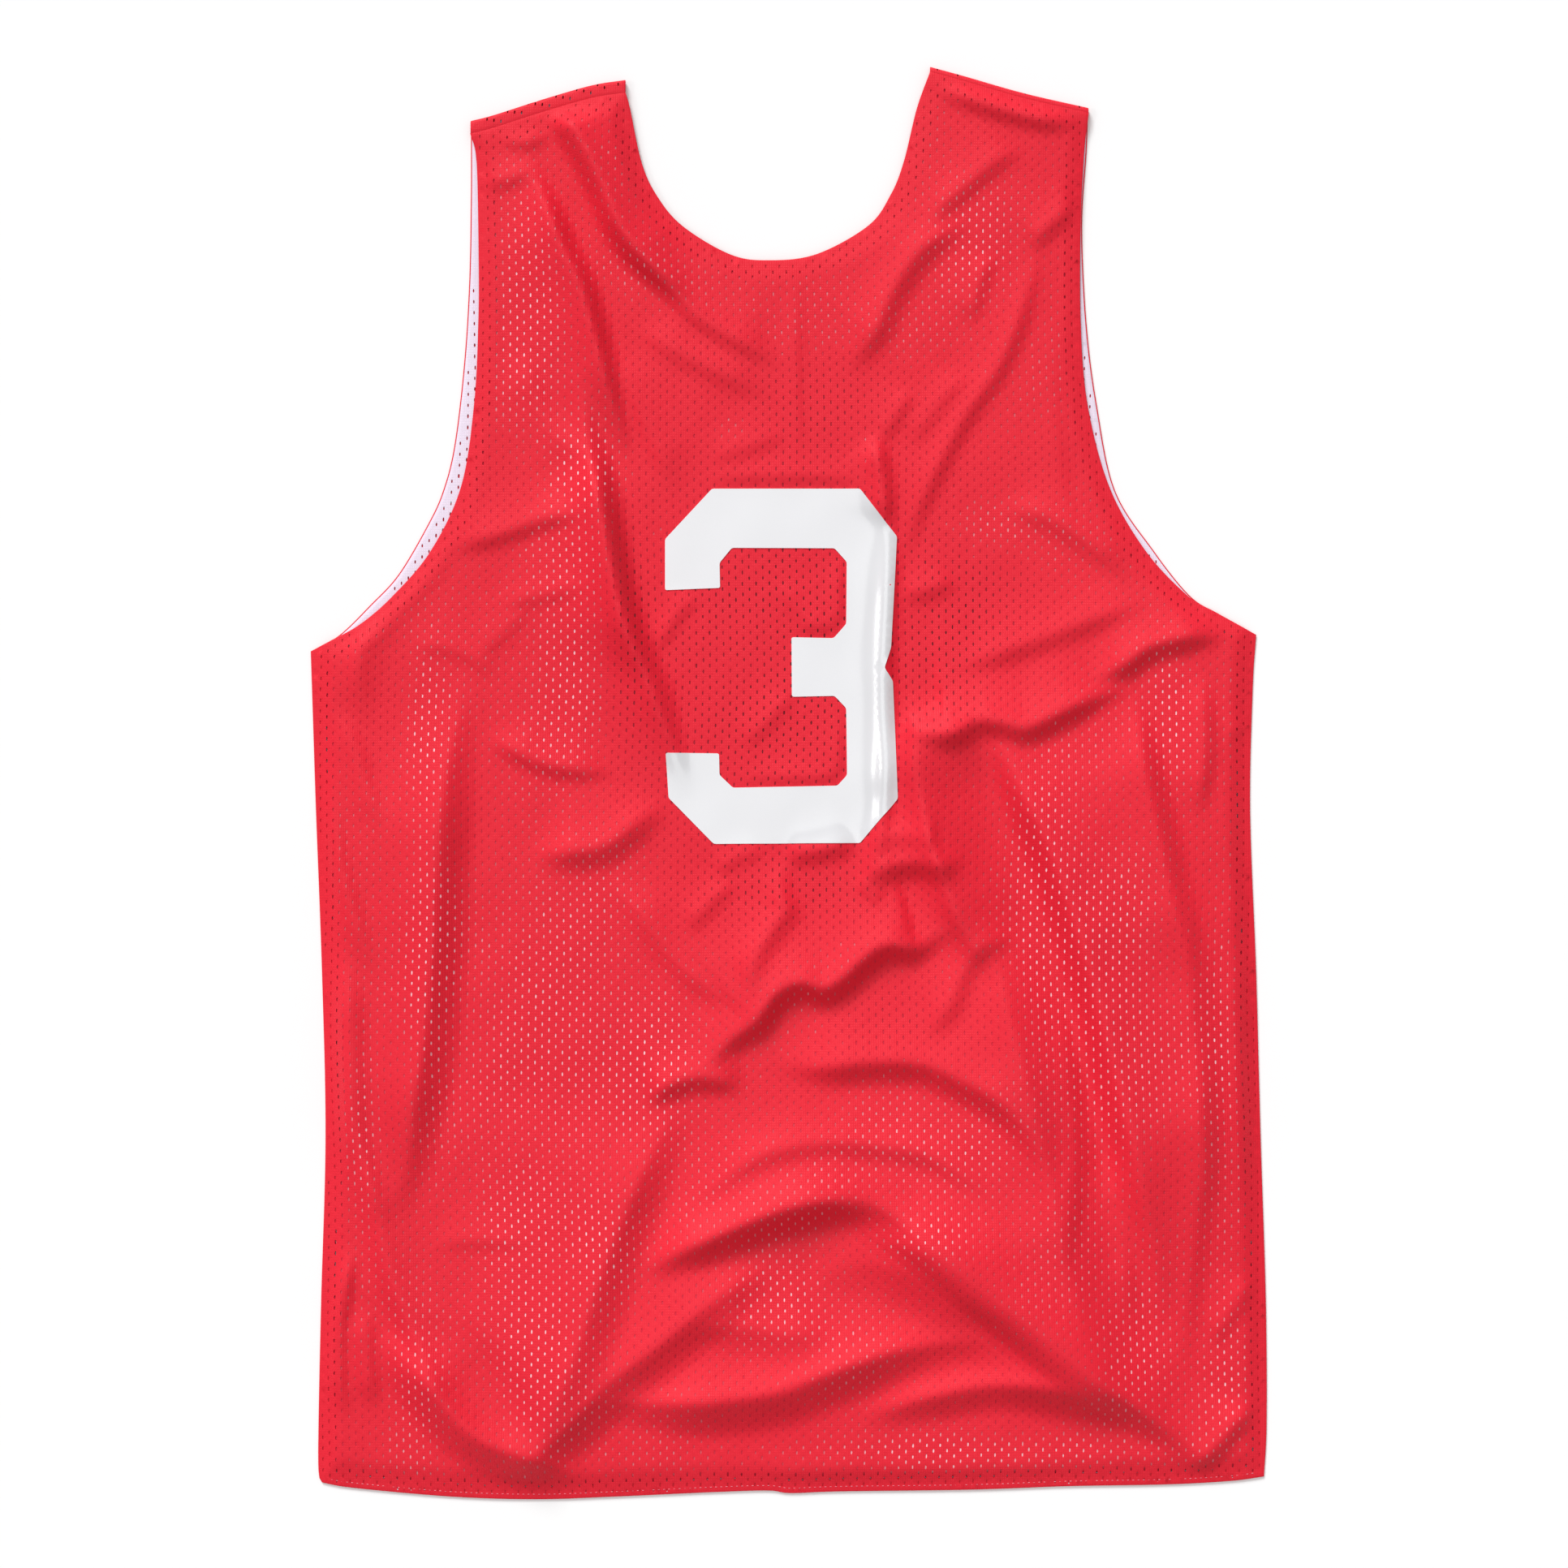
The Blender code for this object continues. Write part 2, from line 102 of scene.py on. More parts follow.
# how far the back comes down at its edges, and over what distance
edgeDrops = {
    "hem": (3.1, 18),
    "sideRight": (3.3, 14),
    "sideLeft": (3.3, 14),
    "backArmholeRight": (1.7, 10),
    "backArmholeLeft": (1.3, 10),
    "backNeck": (1.0, 12),
}

# folds of the back: height, width of the gentle side and of the steep side, and the path of the
# middle of the steep side, which faces the right of the way the path runs
backFolds = [
    # under the right chest
    (8.5, 24, 12, (60, 29), (80, 23), (92, 22), (107, 29), (120, 29), (136, 25), (155, 33),
     (177, 44), (200, 55)),
    (7.0, 16, 11, (174, 56), (195, 63), (208, 72), (225, 77), (252, 82)),
    # hollow beside the number
    (10.0, 9, 42, (130, -112), (115, -68), (102, -26), (92, 14), (83, 60)),
    (5.0, 8, 38, (58, 26), (78, 14), (100, 8), (124, 12)),
    # right side
    (13.0, 56, 18, (98, 66), (112, 26), (126, -8), (141, -42), (154, -80), (166, -120),
     (177, -165), (188, -210), (200, -262), (212, -320)),
    (7.0, 24, 14, (238, -118), (229, -75), (222, -40), (215, -10), (209, 20), (202, 56)),
    (3.5, 10, 9, (237, -22), (243, 10), (243, 40), (239, 66)),
    (1.8, 4, 6, (250, 27), (262, 27), (276, 26)),
    (4.0, 18, 18, (247, -250), (244, -180), (240, -120), (235, -50)),
    (10.0, 30, 38, (184, -330), (173, -250), (157, -175), (138, -110), (120, -66)),
    (2.5, 12, 12, (156, -292), (166, -250), (170, -205), (165, -160), (156, -118)),
    (2.5, 10, 14, (199, -310), (200, -260), (193, -205)),
    (2.5, 10, 12, (230, -340), (238, -270), (243, -210), (240, -140)),
    # waist
    (6.5, 14, 14, (40, -62), (60, -54), (75, -52), (88, -54), (103, -44)),
    (3.0, 8, 13, (48, -42), (66, -36), (86, -42)),
    (4.2, 8, 11, (-5, -46), (18, -44), (43, -37)),
    (2.0, 6, 6, (36, -58), (43, -64), (51, -71)),
    (4.4, 10, 12, (-19, -128), (-15, -105), (-5, -88), (4, -74), (0, -58), (3, -42)),
    # middle
    (11.5, 26, 13, (-50, -172), (-32, -153), (-15, -142), (-3, -126), (8, -121), (20, -125),
     (34, -118), (47, -106), (58, -99), (72, -101), (84, -94), (100, -81)),
    (6.0, 16, 12, (-82, -188), (-62, -177), (-45, -175), (-26, -180)),
    (9.5, 60, 24, (-142, -402), (-128, -370), (-114, -340), (-102, -305), (-92, -275), (-80, -245),
     (-68, -215), (-56, -180)),
    (3.8, 12, 12, (79, -150), (97, -131), (105, -112), (114, -99), (134, -90)),
    # arches and sweeps
    (8.5, 24, 16, (-14, -164), (20, -170), (50, -168), (75, -169), (98, -179), (118, -190),
     (132, -205), (145, -226)),
    (4.0, 14, 12, (-60, -245), (-35, -232), (-20, -222), (0, -215), (25, -212), (50, -214),
     (75, -218), (98, -230), (124, -246)),
    (9.5, 34, 22, (-86, -286), (-52, -273), (-25, -262), (0, -253), (26, -248), (46, -252),
     (66, -265), (84, -281), (107, -300), (128, -316), (150, -335), (172, -352), (195, -366),
     (212, -377), (238, -394)),
    (9.0, 18, 17, (-86, -286), (-52, -273), (-25, -262), (0, -253), (26, -248), (50, -253)),
    (3.0, 42, 26, (10, -293), (45, -289), (72, -300), (102, -330)),
    (8.5, 22, 18, (54, -256), (84, -279), (107, -298), (128, -314), (150, -333), (172, -350),
     (195, -365), (212, -377), (238, -394)),
    (12.0, 20, 46, (26, -268), (48, -278), (72, -291), (94, -307), (120, -326), (145, -345),
     (168, -362), (190, -378)),
    (10.0, 34, 23, (-162, -404), (-132, -387), (-112, -370), (-95, -352), (-75, -337), (-50, -317),
     (-30, -300), (-2, -279)),
    # hem
    (11.0, 18, 24, (-118, -361), (-60, -367), (-30, -365), (0, -360), (20, -352), (45, -343),
     (70, -335), (95, -330), (126, -327)),
    (7.5, 11, 18, (40, -370), (80, -361), (112, -355), (142, -355), (168, -361), (196, -376)),
    (5.0, 14, 10, (230, -402), (245, -388), (255, -377), (271, -357)),
    (2.5, 10, 10, (244, -326), (260, -303), (272, -284)),
    (1.0, 5, 5, (-70, -400), (0, -399.5), (60, -399), (120, -398), (210, -395)),
    # left side
    (11.0, 40, 22, (-229, -262), (-212, -226), (-205, -190), (-198, -150), (-193, -100),
     (-190, -50), (-187, 0), (-180, 62)),
    (4.5, 14, 13, (-226, -252), (-238, -222), (-243, -190), (-244, -150), (-246, -120),
     (-253, -85)),
    (5.0, 14, 13, (-251, -190), (-247, -225), (-238, -272), (-225, -310), (-208, -345),
     (-190, -368)),
    (4.0, 22, 20, (-60, -318), (-30, -322), (0, -326), (30, -322)),
    (11.0, 16, 22, (-240, -316), (-222, -344), (-200, -371), (-182, -386), (-156, -396),
     (-116, -404)),
    (4.2, 6, 7, (-249, -366), (-256, -340), (-256, -318), (-252, -295), (-247, -262)),
    (3.0, 6, 9, (-235, -360), (-237, -332), (-241, -299)),
    (3.5, 9, 10, (-234, -116), (-240, -90), (-247, -65), (-255, -40), (-261, -12), (-262, 18)),
    (2.5, 9, 9, (-229, -28), (-238, -2), (-244, 20), (-256, 46)),
    # left ribs and waist
    (3.8, 13, 9, (-177, 25), (-155, 12), (-140, 6), (-120, 3), (-98, 3)),
    (3.6, 13, 9, (-196, 131), (-165, 138), (-145, 145), (-114, 153)),
    (1.6, 8, 7, (-168, 99), (-140, 104), (-115, 111)),
    (1.2, 8, 7, (-178, 70), (-160, 85), (-146, 100)),
    (1.4, 8, 6, (-219, 77), (-190, 72), (-167, 58)),
    (1.4, 8, 6, (-206, -268), (-178, -266), (-148, -267)),
    (5.5, 16, 15, (-150, -46), (-125, -47), (-105, -44), (-90, -35), (-78, -24), (-66, -14)),
    (3.0, 14, 13, (-108, -53), (-88, -82), (-68, -108), (-50, -122), (-23, -133)),
    (2.4, 7, 9, (-58, -88), (-44, -74), (-28, -58)),
    (1.8, 5, 7, (-42, -55), (-28, -46), (-12, -42)),
    (3.2, 6, 18, (-237, 28), (-239, 62), (-232, 86), (-215, 108), (-200, 126), (-185, 145)),
    # left blade
    (9.0, 15, 13, (-52, -12), (-60, 16), (-70, 50), (-80, 78), (-90, 103), (-96, 128), (-101, 155),
     (-107, 184), (-113, 215), (-119, 242)),
    (8.5, 14, 13, (-76, 56), (-86, 84), (-92, 112), (-97, 140), (-102, 172), (-107, 200)),
    (2.4, 12, 12, (-112, 186), (-130, 205), (-140, 223), (-150, 252)),
    # left strap
    (12.0, 16, 13, (-158, 408), (-138, 384), (-124, 362), (-113, 340), (-104, 318), (-91, 300),
     (-72, 284), (-54, 270)),
    (10.0, 17, 10, (-88, 186), (-94, 208), (-101, 238), (-107, 262), (-114, 287), (-124, 308),
     (-132, 328), (-140, 345), (-150, 368)),
    (2.5, 14, 11, (-108, 252), (-101, 236), (-90, 212), (-78, 186), (-68, 164)),
    (3.6, 12, 9, (-96, 304), (-75, 284), (-55, 264), (-30, 249), (-2, 236)),
    (2.6, 14, 11, (-92, 262), (-72, 246), (-45, 232), (-11, 218)),
    (2.2, 6, 6, (-170, 371), (-152, 364), (-135, 371)),
    (2.6, 8, 7, (-181, 341), (-162, 342), (-144, 350)),
    (1.6, 4, 5, (-174, 348), (-172, 368), (-172, 388)),
    (2.0, 5, 7, (-176, 378), (-150, 381), (-128, 386), (-94, 393)),
    (0.8, 8, 6, (-180, 130), (-179, 170), (-172, 215), (-168, 255), (-169, 330)),
    # nape
    (1.2, 5, 5, (8, 178), (7, 240), (7, 302)),
    (1.4, 8, 8, (-48, 182), (-20, 190), (3, 199)),
    # right strap
    (7.5, 9, 12, (78, 400), (105, 389), (127, 382), (150, 377), (174, 381)),
    (5.0, 14, 13, (34, 232), (54, 254), (64, 276), (77, 297), (90, 309), (108, 322)),
    (3.2, 11, 10, (79, 317), (98, 333), (118, 350), (138, 364)),
    (2.0, 7, 7, (54, 194), (64, 208), (74, 226)),
    # right blade
    (3.6, 9, 9, (67, 120), (76, 150), (90, 180), (105, 208), (122, 232), (134, 258), (142, 286),
     (147, 312)),
    (2.0, 10, 9, (72, 190), (87, 212), (106, 234)),
    (2.2, 8, 8, (106, 262), (113, 283), (119, 305)),
    (3.2, 10, 9, (140, 303), (154, 318), (175, 331)),
    # edge of the number
    (6.0, 8, 9, (59, 144), (59, 166), (57, 182), (52, 204)),
    (1.6, 7, 5, (-52, 172.5), (-20, 173), (20, 173), (50, 170)),
    (5.8, 7, 8, (42, -62), (52, -42), (58, -20), (60, 10), (59, 60), (61, 110), (60, 145),
     (52, 176)),
    # right chest
    (0.9, 10, 8, (170, 128), (160, 175), (156, 215), (155, 260)),
    (3.0, 12, 12, (120, 157), (145, 147), (163, 137), (195, 114)),
    (2.5, 8, 10, (64, 104), (80, 106), (99, 113)),
    (3.4, 14, 11, (90, 63), (115, 67), (140, 75), (175, 88), (210, 103)),
    (2.0, 5, 6, (234, 99), (250, 90), (267, 80)),
    (2.0, 6, 7, (-74, 73), (-63, 92), (-50, 108)),
    # inside the number
    (1.8, 7, 8, (-26, 18), (-8, 34), (5, 52)),
    (1.5, 7, 5, (-36, 1), (0, 0.5), (22, 1.5), (30, 8), (30.5, 26), (30, 48)),
    (1.5, 7, 5, (-2, 86.5), (14, 86.5), (25, 88), (30.5, 96), (31, 112), (30, 134)),
    (1.4, 7, 8, (-10, 114), (4, 95), (18, 82)),
]

# small creases of the front, which the photo hides
frontFolds = [
    (0.8, 20, 14, (-150, -250), (-60, -215), (40, -205), (130, -235)),
    (0.7, 18, 12, (-190, -60), (-110, -85), (-20, -70), (60, -95)),
    (0.8, 22, 14, (110, 60), (140, -30), (160, -130), (185, -240)),
    (0.7, 20, 15, (-205, -300), (-195, -200), (-180, -110)),
    (0.6, 16, 12, (-120, 120), (-60, 95), (10, 100), (80, 130)),
    (0.8, 18, 14, (-120, -350), (-40, -335), (60, -345), (150, -335)),
    (0.6, 14, 12, (120, 230), (150, 150), (205, 90)),
    (0.5, 12, 10, (-150, 330), (-135, 260), (-110, 200)),
    (0.6, 14, 11, (-200, 70), (-160, 50), (-110, 60)),
    (0.6, 16, 12, (120, -290), (180, -310), (230, -350)),
]

# the net: distance between columns of holes and between holes in a column, the hole's size and how
# much it differs, and how far whole cells and single holes keep from the edge
redNet = {"column": 3.9, "row": 6.25, "holeWide": 1.0, "holeLong": 2.05, "holeCorner": 0.58,
          "sizes": (0.86, 1.14), "off": 0.16, "singleHole": 0.92, "turn": 0.0, "warp": 1.2,
          "phase": 0.0, "raised": 0.25, "edgeClear": 4.4, "holeClear": 1.9, "slip": 0.0, "seed": 3,
          "margin": 12}
whiteNet = redNet | {"raised": 0.04, "slip": 3.12, "seed": 8}

# where the back's lining keeps its pale colour through the holes: middle, reach both ways and
# share; elsewhere it is painted red, painted shade and red light from the net over it
whitePlaces = [
    (-150, 275, 18, 60, 1.0), (-118, 185, 18, 22, 0.8), (-92, 296, 28, 18, 0.6),
    (-128, 85, 22, 62, 1.0), (-208, 38, 11, 36, 0.9), (-205, -85, 13, 105, 0.8),
    (-132, -130, 46, 78, 0.7), (-76, -170, 22, 42, 0.8), (-244, -200, 9, 60, 0.6),
    (-155, -245, 26, 30, 0.8), (-145, -330, 26, 44, 0.9), (-214, -340, 16, 46, 0.7),
    (-108, -262, 20, 34, 0.8), (146, -75, 16, 72, 1.0), (178, -120, 34, 125, 0.7),
    (218, 34, 11, 36, 0.9), (246, -140, 12, 80, 0.6), (250, -320, 16, 48, 0.7),
    (204, -322, 20, 38, 0.55), (76, -262, 26, 14, 0.8), (-8, -298, 36, 24, 0.6),
    (100, -384, 110, 10, 0.7), (62, 262, 46, 26, 0.4), (122, 148, 34, 20, 0.5),
    (104, 310, 22, 30, 0.5), (52, -215, 74, 40, 0.35), (-34, 204, 16, 14, 0.4),
]
# where the holes get painted dark shade, as if deep, listed the same way
deepShadePlaces = [
    (0, 72, 82, 112, 1.0), (92, 96, 24, 60, 0.9), (0, -60, 62, 22, 0.7), (22, 218, 60, 42, 0.5),
    (-90, 88, 14, 70, 0.8), (60, -140, 40, 30, 0.4), (120, 110, 40, 50, 0.4),
    (-60, 240, 30, 40, 0.3),
]


def smoothStep(share):
    share = np.clip(share, 0, 1)
    return share * share * (3 - 2 * share)


def curveThrough(spots, step):
    known = np.array(spots, dtype=float)
    known = np.vstack([2 * known[0] - known[1], known, 2 * known[-1] - known[-2]])
    points = []
    for before, start, end, after in zip(known, known[1:], known[2:], known[3:]):
        count = max(1, round(float(np.linalg.norm(end - start)) / step))
        for t in np.arange(count) / count:
            points.append(start + t * (end - before) / 2
                          + t**2 * (before - 2.5 * start + 2 * end - after / 2)
                          + t**3 * (1.5 * start - before / 2 - 1.5 * end + after / 2))
    points.append(known[-2])
    return np.array(points)


def closedLoop(parts, step):
    return np.vstack([curveThrough(part, step)[:-1] for part in parts])


# distance from a line, above zero on the right of its way, and the share of its length
def nearestOn(points, line):
    lengths = np.linalg.norm(np.diff(line, axis=0), axis=1)
    starts = np.concatenate([[0], np.cumsum(lengths)])
    best = np.full(len(points), np.inf)
    signed = np.zeros(len(points))
    along = np.zeros(len(points))
    x, y = points[:, 0], points[:, 1]
    for start, end, length, soFar in zip(line, line[1:], lengths, starts):
        wayX, wayY = (end - start) / length
        dx = x - start[0]
        dy = y - start[1]
        reach = np.clip(dx * wayX + dy * wayY, 0, length)
        apart = np.hypot(dx - reach * wayX, dy - reach * wayY)
        closer = apart < best
        best[closer] = apart[closer]
        signed[closer] = np.where(dx * wayY > dy * wayX, apart, -apart)[closer]
        along[closer] = (soFar + reach[closer]) / starts[-1]
    return signed, along


def nearLine(points, line, room):
    return np.all((points > line.min(axis=0) - room) & (points < line.max(axis=0) + room), axis=1)


# which points have an odd number of the edges to their right
def insideEdges(points, starts, ends):
    hits = np.zeros(len(points), dtype=int)
    for start, end in zip(starts, ends):
        if start[1] == end[1]:
            continue
        spans = (start[1] > points[:, 1]) != (end[1] > points[:, 1])
        crossing = start[0] + (points[:, 1] - start[1]) * (end[0] - start[0]) / (end[1] - start[1])
        hits += spans & (points[:, 0] < crossing)
    return hits % 2 == 1


def insideLoop(points, loop):
    return insideEdges(points, loop, np.roll(loop, -1, axis=0))


def fromLoop(points, loop):
    return np.abs(nearestOn(points, np.vstack([loop, loop[:1]]))[0])


# a closed anticlockwise loop moved inwards
def movedIn(loop, distance):
    before = loop - np.roll(loop, 1, axis=0)
    after = np.roll(loop, -1, axis=0) - loop
    before /= np.linalg.norm(before, axis=1)[:, None]
    after /= np.linalg.norm(after, axis=1)[:, None]
    way = before + after
    spread = np.linalg.norm(way, axis=1)[:, None]
    inwards = np.stack([-way[:, 1], way[:, 0]], axis=1) / spread
    return loop + distance * inwards / np.maximum(spread / 2, 0.6)


# the first three are shares of a fold's length and of its two widths
foldForm = {"rise": 0.3, "steepAtEnds": 0.6, "gentleAtEnds": 0.45, "sharp": 0.6, "crestRound": 2.0,
            "reach": 3.2, "fadesAt": 0.05, "step": 6.0}


# a crest with a short way down on its right, steepest at its top, and a long one on its left,
# pointed at both ends
def foldHeight(points, folds):
    rise, sharp, least = foldForm["rise"], foldForm["sharp"], foldForm["fadesAt"]
    total = np.zeros(len(points))
    for height, gentle, steep, *path in folds:
        line = curveThrough(path, foldForm["step"])
        near = nearLine(points, line, foldForm["reach"] * gentle + steep)
        signed, along = nearestOn(points[near], line)
        full = smoothStep(along / rise) * smoothStep((1 - along) / rise)
        steepHere = steep * (full + foldForm["steepAtEnds"] * (1 - full))
        gentleHere = gentle * (full + foldForm["gentleAtEnds"] * (1 - full))
        fromCrest = signed + steepHere / 2
        share = np.clip(fromCrest / steepHere, 0, 1)
        down = (1 - sharp) * (1 - smoothStep(share)) + sharp * (1 - share)**2
        before = np.hypot(fromCrest, foldForm["crestRound"]) - foldForm["crestRound"]
        up = (np.exp(-before / gentleHere) - least) / (1 - least)
        total[near] += height * full * np.where(fromCrest > 0, down, np.clip(up, 0, None))
    return total


# slow unevenness of cloth that lies loose, and of the painted shade on the back's lining: how fine,
# how high and where it starts
uneven = {"back": (1.0, 0.5, 0.4), "backFine": (2.9, 0.26, 1.3), "front": (1.0, 0.12, 2.2),
          "liningShade": (1.4, 0.3, 1.9)}


def unevenness(points, kind):
    fine, high, phase = uneven[kind]
    x, y = (points * fine).T
    waves = (np.sin(x / 31 + y / 57 + phase) + np.sin(y / 23 - x / 71 + 1.7 * phase)
             + np.sin((x + y) / 41 + 2.9 * phase) + np.sin(x / 17 - y / 29 + 0.6 * phase))
    return high * waves / 4


# the folds added up once, on a grid that is then softened a little
foldGrid = {"left": -290.0, "low": -430.0, "step": 1.6, "across": 363, "up": 538, "soften": 2,
            "highest": 20.5}


def foldsOnGrid():
    x = foldGrid["left"] + foldGrid["step"] * np.arange(foldGrid["across"])
    y = foldGrid["low"] + foldGrid["step"] * np.arange(foldGrid["up"])
    spots = np.stack(np.meshgrid(x, y), axis=-1).reshape(-1, 2)
    total = foldHeight(spots, backFolds).reshape(len(y), len(x))
    total /= (1 + (total / foldGrid["highest"])**4)**0.25
    for _ in range(foldGrid["soften"]):
        for axis in (0, 1):
            total = total / 2 + (np.roll(total, 1, axis) + np.roll(total, -1, axis)) / 4
    return total


foldHeights = foldsOnGrid()
print("folds are", round(float(foldHeights.max()), 1), "mm high at most")


# height of the folds at points between those of the grid
def foldsAt(points):
    place = (points - (foldGrid["left"], foldGrid["low"])) / foldGrid["step"]
    place = np.clip(place, 0, (foldGrid["across"] - 1.01, foldGrid["up"] - 1.01))
    i, j = place.astype(int).T
    u, v = (place - place.astype(int)).T
    below = foldHeights[j, i] * (1 - u) + foldHeights[j, i + 1] * u
    above = foldHeights[j + 1, i] * (1 - u) + foldHeights[j + 1, i + 1] * u
    return below * (1 - v) + above * v


# over what distance the folds fade towards the edges and the back's drop towards the shoulder
# seams, and how near to an edge points are looked at
fading = {"backEdges": 14, "seams": 16, "frontEdges": 22, "look": 40}
frontRoom = {"raised": 0.12, "highest": 0.9}


def nearEdge(points, name):
    line = curveThrough(edges[name], layers["roughStep"])
    near = nearLine(points, line, fading["look"])
    return near, np.abs(nearestOn(points[near], line)[0])


def backHeight(points):
    total = foldsAt(points) + unevenness(points, "back") + unevenness(points, "backFine")
    fromEdge = np.full(len(points), np.inf)
    drop = np.zeros(len(points))
    for name, (deep, reach) in edgeDrops.items():
        near, apart = nearEdge(points, name)
        fromEdge[near] = np.minimum(fromEdge[near], apart)
        drop[near] = np.maximum(drop[near], deep * (1 - smoothStep(apart / reach)))
    for side in ("Left", "Right"):
        near, apart = nearEdge(points, "shoulder" + side)
        apart -= layers["seam" + side]
        fromEdge[near] = np.minimum(fromEdge[near], np.abs(apart))
        drop[near] *= smoothStep(apart / fading["seams"])
    return layers["back"] - drop + total * smoothStep(fromEdge / fading["backEdges"])


frontEdges = ["hem", "sideRight", "frontArmholeRight", "shoulderRight", "frontNeck", "shoulderLeft",
              "frontArmholeLeft", "sideLeft"]


def frontHeight(points):
    total = foldHeight(points, frontFolds) + unevenness(points, "front") + frontRoom["raised"]
    outline = closedLoop([edges[name] for name in frontEdges], layers["roughStep"])
    fade = smoothStep(fromLoop(points, outline) / fading["frontEdges"])
    return layers["front"] + np.clip(total, 0, frontRoom["highest"]) * fade


# spots up the side of a strap end, one for each row of points round the shoulder turn
def risingSide(spot):
    rows = np.arange(layers["bendRows"] + 1) / layers["bendRows"]
    return [(spot[0], spot[1] + math.pi * turnRadius * row - turnRadius) for row in rows]


# outline of a panel whose straps end past the shoulder lines by the distances given for right and
# left; rising adds spots up their sides
def panelOutline(layer, past, rising=lambda spot: [], neckFrom=1):
    topRight, topLeft = edges["shoulderRight"], edges["shoulderLeft"]
    right = [(x, y + past[0]) for x, y in topRight]
    left = [(x, y + past[1]) for x, y in topLeft]
    armholeRight = edges[layer + "ArmholeRight"][:-1] + rising(topRight[0]) + [right[0]]
    neck = ([right[-1]] + rising(topRight[-1])[::-1] + edges[layer + "Neck"][neckFrom:-1]
            + rising(topLeft[0]) + [left[0]])
    armholeLeft = [left[-1]] + rising(topLeft[-1])[::-1] + edges[layer + "ArmholeLeft"][1:]
    parts = [edges["hem"], edges["sideRight"], armholeRight, right, neck, left, armholeLeft,
             edges["sideLeft"]]
    return closedLoop(parts, layers["edgeStep"])


def backOutline():
    past = [-layers[seam] - layers["seamGap"] / 2 for seam in ("seamRight", "seamLeft")]
    return panelOutline("back", past)


# the front as it is cut, its strap ends still straight past the shoulders
def frontOutline():
    past = [math.pi * turnRadius - turnRadius + (layers[seam] - layers["seamGap"] / 2 - turnRadius)
            for seam in ("seamRight", "seamLeft")]
    return panelOutline("front", past, risingSide)


def shoulderTop(side):
    line = curveThrough(edges["shoulder" + side], 3.0)
    return line[np.argsort(line[:, 0])]


# for each strap: which points are its own, the axis of its turn and how far past it they are
def strapTurns(points):
    x, y = points.T
    for side in ("Left", "Right"):
        top = shoulderTop(side)
        room = layers["besideStrap"]
        near = (x > top[0, 0] - room) & (x < top[-1, 0] + room)
        axis = np.interp(x, top[:, 0], top[:, 1]) - turnRadius
        yield near, axis, y - axis


# the front in space: its strap ends go over the shoulders in a half round and back along the top
def layFront(points, off):
    placed = np.column_stack([points, frontHeight(points) + off])
    for near, axis, past in strapTurns(points):
        over = near & (past > 0)
        angle = np.clip(past / turnRadius, 0, math.pi)
        beyond = np.clip(past - math.pi * turnRadius, 0, None)
        reach = turnRadius - off
        placed[over, 1] = (axis + reach * np.sin(angle) - beyond)[over]
        placed[over, 2] = (layers["front"] + turnRadius - reach * np.cos(angle))[over]
    return placed


def layBack(points, off):
    height = np.maximum(backHeight(points) + off, layers["lowest"])
    return np.column_stack([points, height])


def layBackLining(points, off):
    fade = (fromBackEdge(points) - layers["turningWide"]) / layers["turningFade"]
    gap = layers["liningBelowBack"] + layers["turningRoom"] * (1 - smoothStep(fade))
    height = np.maximum(backHeight(points) - gap + off, layers["lowestLining"])
    return np.column_stack([points, height])


def layFrontLining(points, off):
    height = frontHeight(points) + layers["frontLining"] - layers["front"] + off
    return np.column_stack([points, height])


def fromBackEdge(points):
    return fromLoop(points, backOutline()[::3])


def inPlaces(points, places):
    rest = np.ones(len(points))
    for x, y, reachX, reachY, share in places:
        away = ((points[:, 0] - x) / reachX)**2 + ((points[:, 1] - y) / reachY)**2
        rest *= 1 - share * np.exp(-away)
    return 1 - rest


# spread of the painted white, red and dark on the back's lining
seenBehind = {"seed": 5, "speckle": 0.10, "white": 0.12, "darkUneven": 0.6, "redEdge": 8}


# how the back's lining looks through the holes, from 0 for white over 1 for red to 2 for dark,
# painted red light and painted shade; it is painted red where it backs the turned edges
def behindNet(points):
    chance = np.random.default_rng(seenBehind["seed"])
    differs = chance.normal(0, seenBehind["speckle"], len(points))
    differs += unevenness(points, "liningShade")
    white = smoothStep(inPlaces(points, whitePlaces) + seenBehind["white"] + differs)
    white *= smoothStep((fromBackEdge(points) - seenBehind["redEdge"]) / layers["turningFade"])
    dark = smoothStep(inPlaces(points, deepShadePlaces) + differs * seenBehind["darkUneven"])
    return (1 - white) * (1 + dark)


# net coordinates to the plan: a slight turn and the slow wander of real knitting
def placeNet(points, net):
    turn = math.radians(net["turn"])
    x = points[:, 0] * math.cos(turn) - points[:, 1] * math.sin(turn)
    y = points[:, 0] * math.sin(turn) + points[:, 1] * math.cos(turn)
    wander, phase = net["warp"], net["phase"]
    shiftX = wander * (np.sin(y / 73 + phase) + 0.6 * np.sin(y / 29 + x / 90 + 2 * phase))
    shiftY = wander * (np.sin(x / 61 + 1.3 * phase) + 0.6 * np.sin(x / 33 - y / 110 + phase))
    return np.column_stack([x + shiftX, y + shiftY + net["slip"]])


def sixSided(tip, side, half):
    return np.array([(tip, 0), (side, half), (-side, half),
                     (-tip, 0), (-side, -half), (side, -half)])


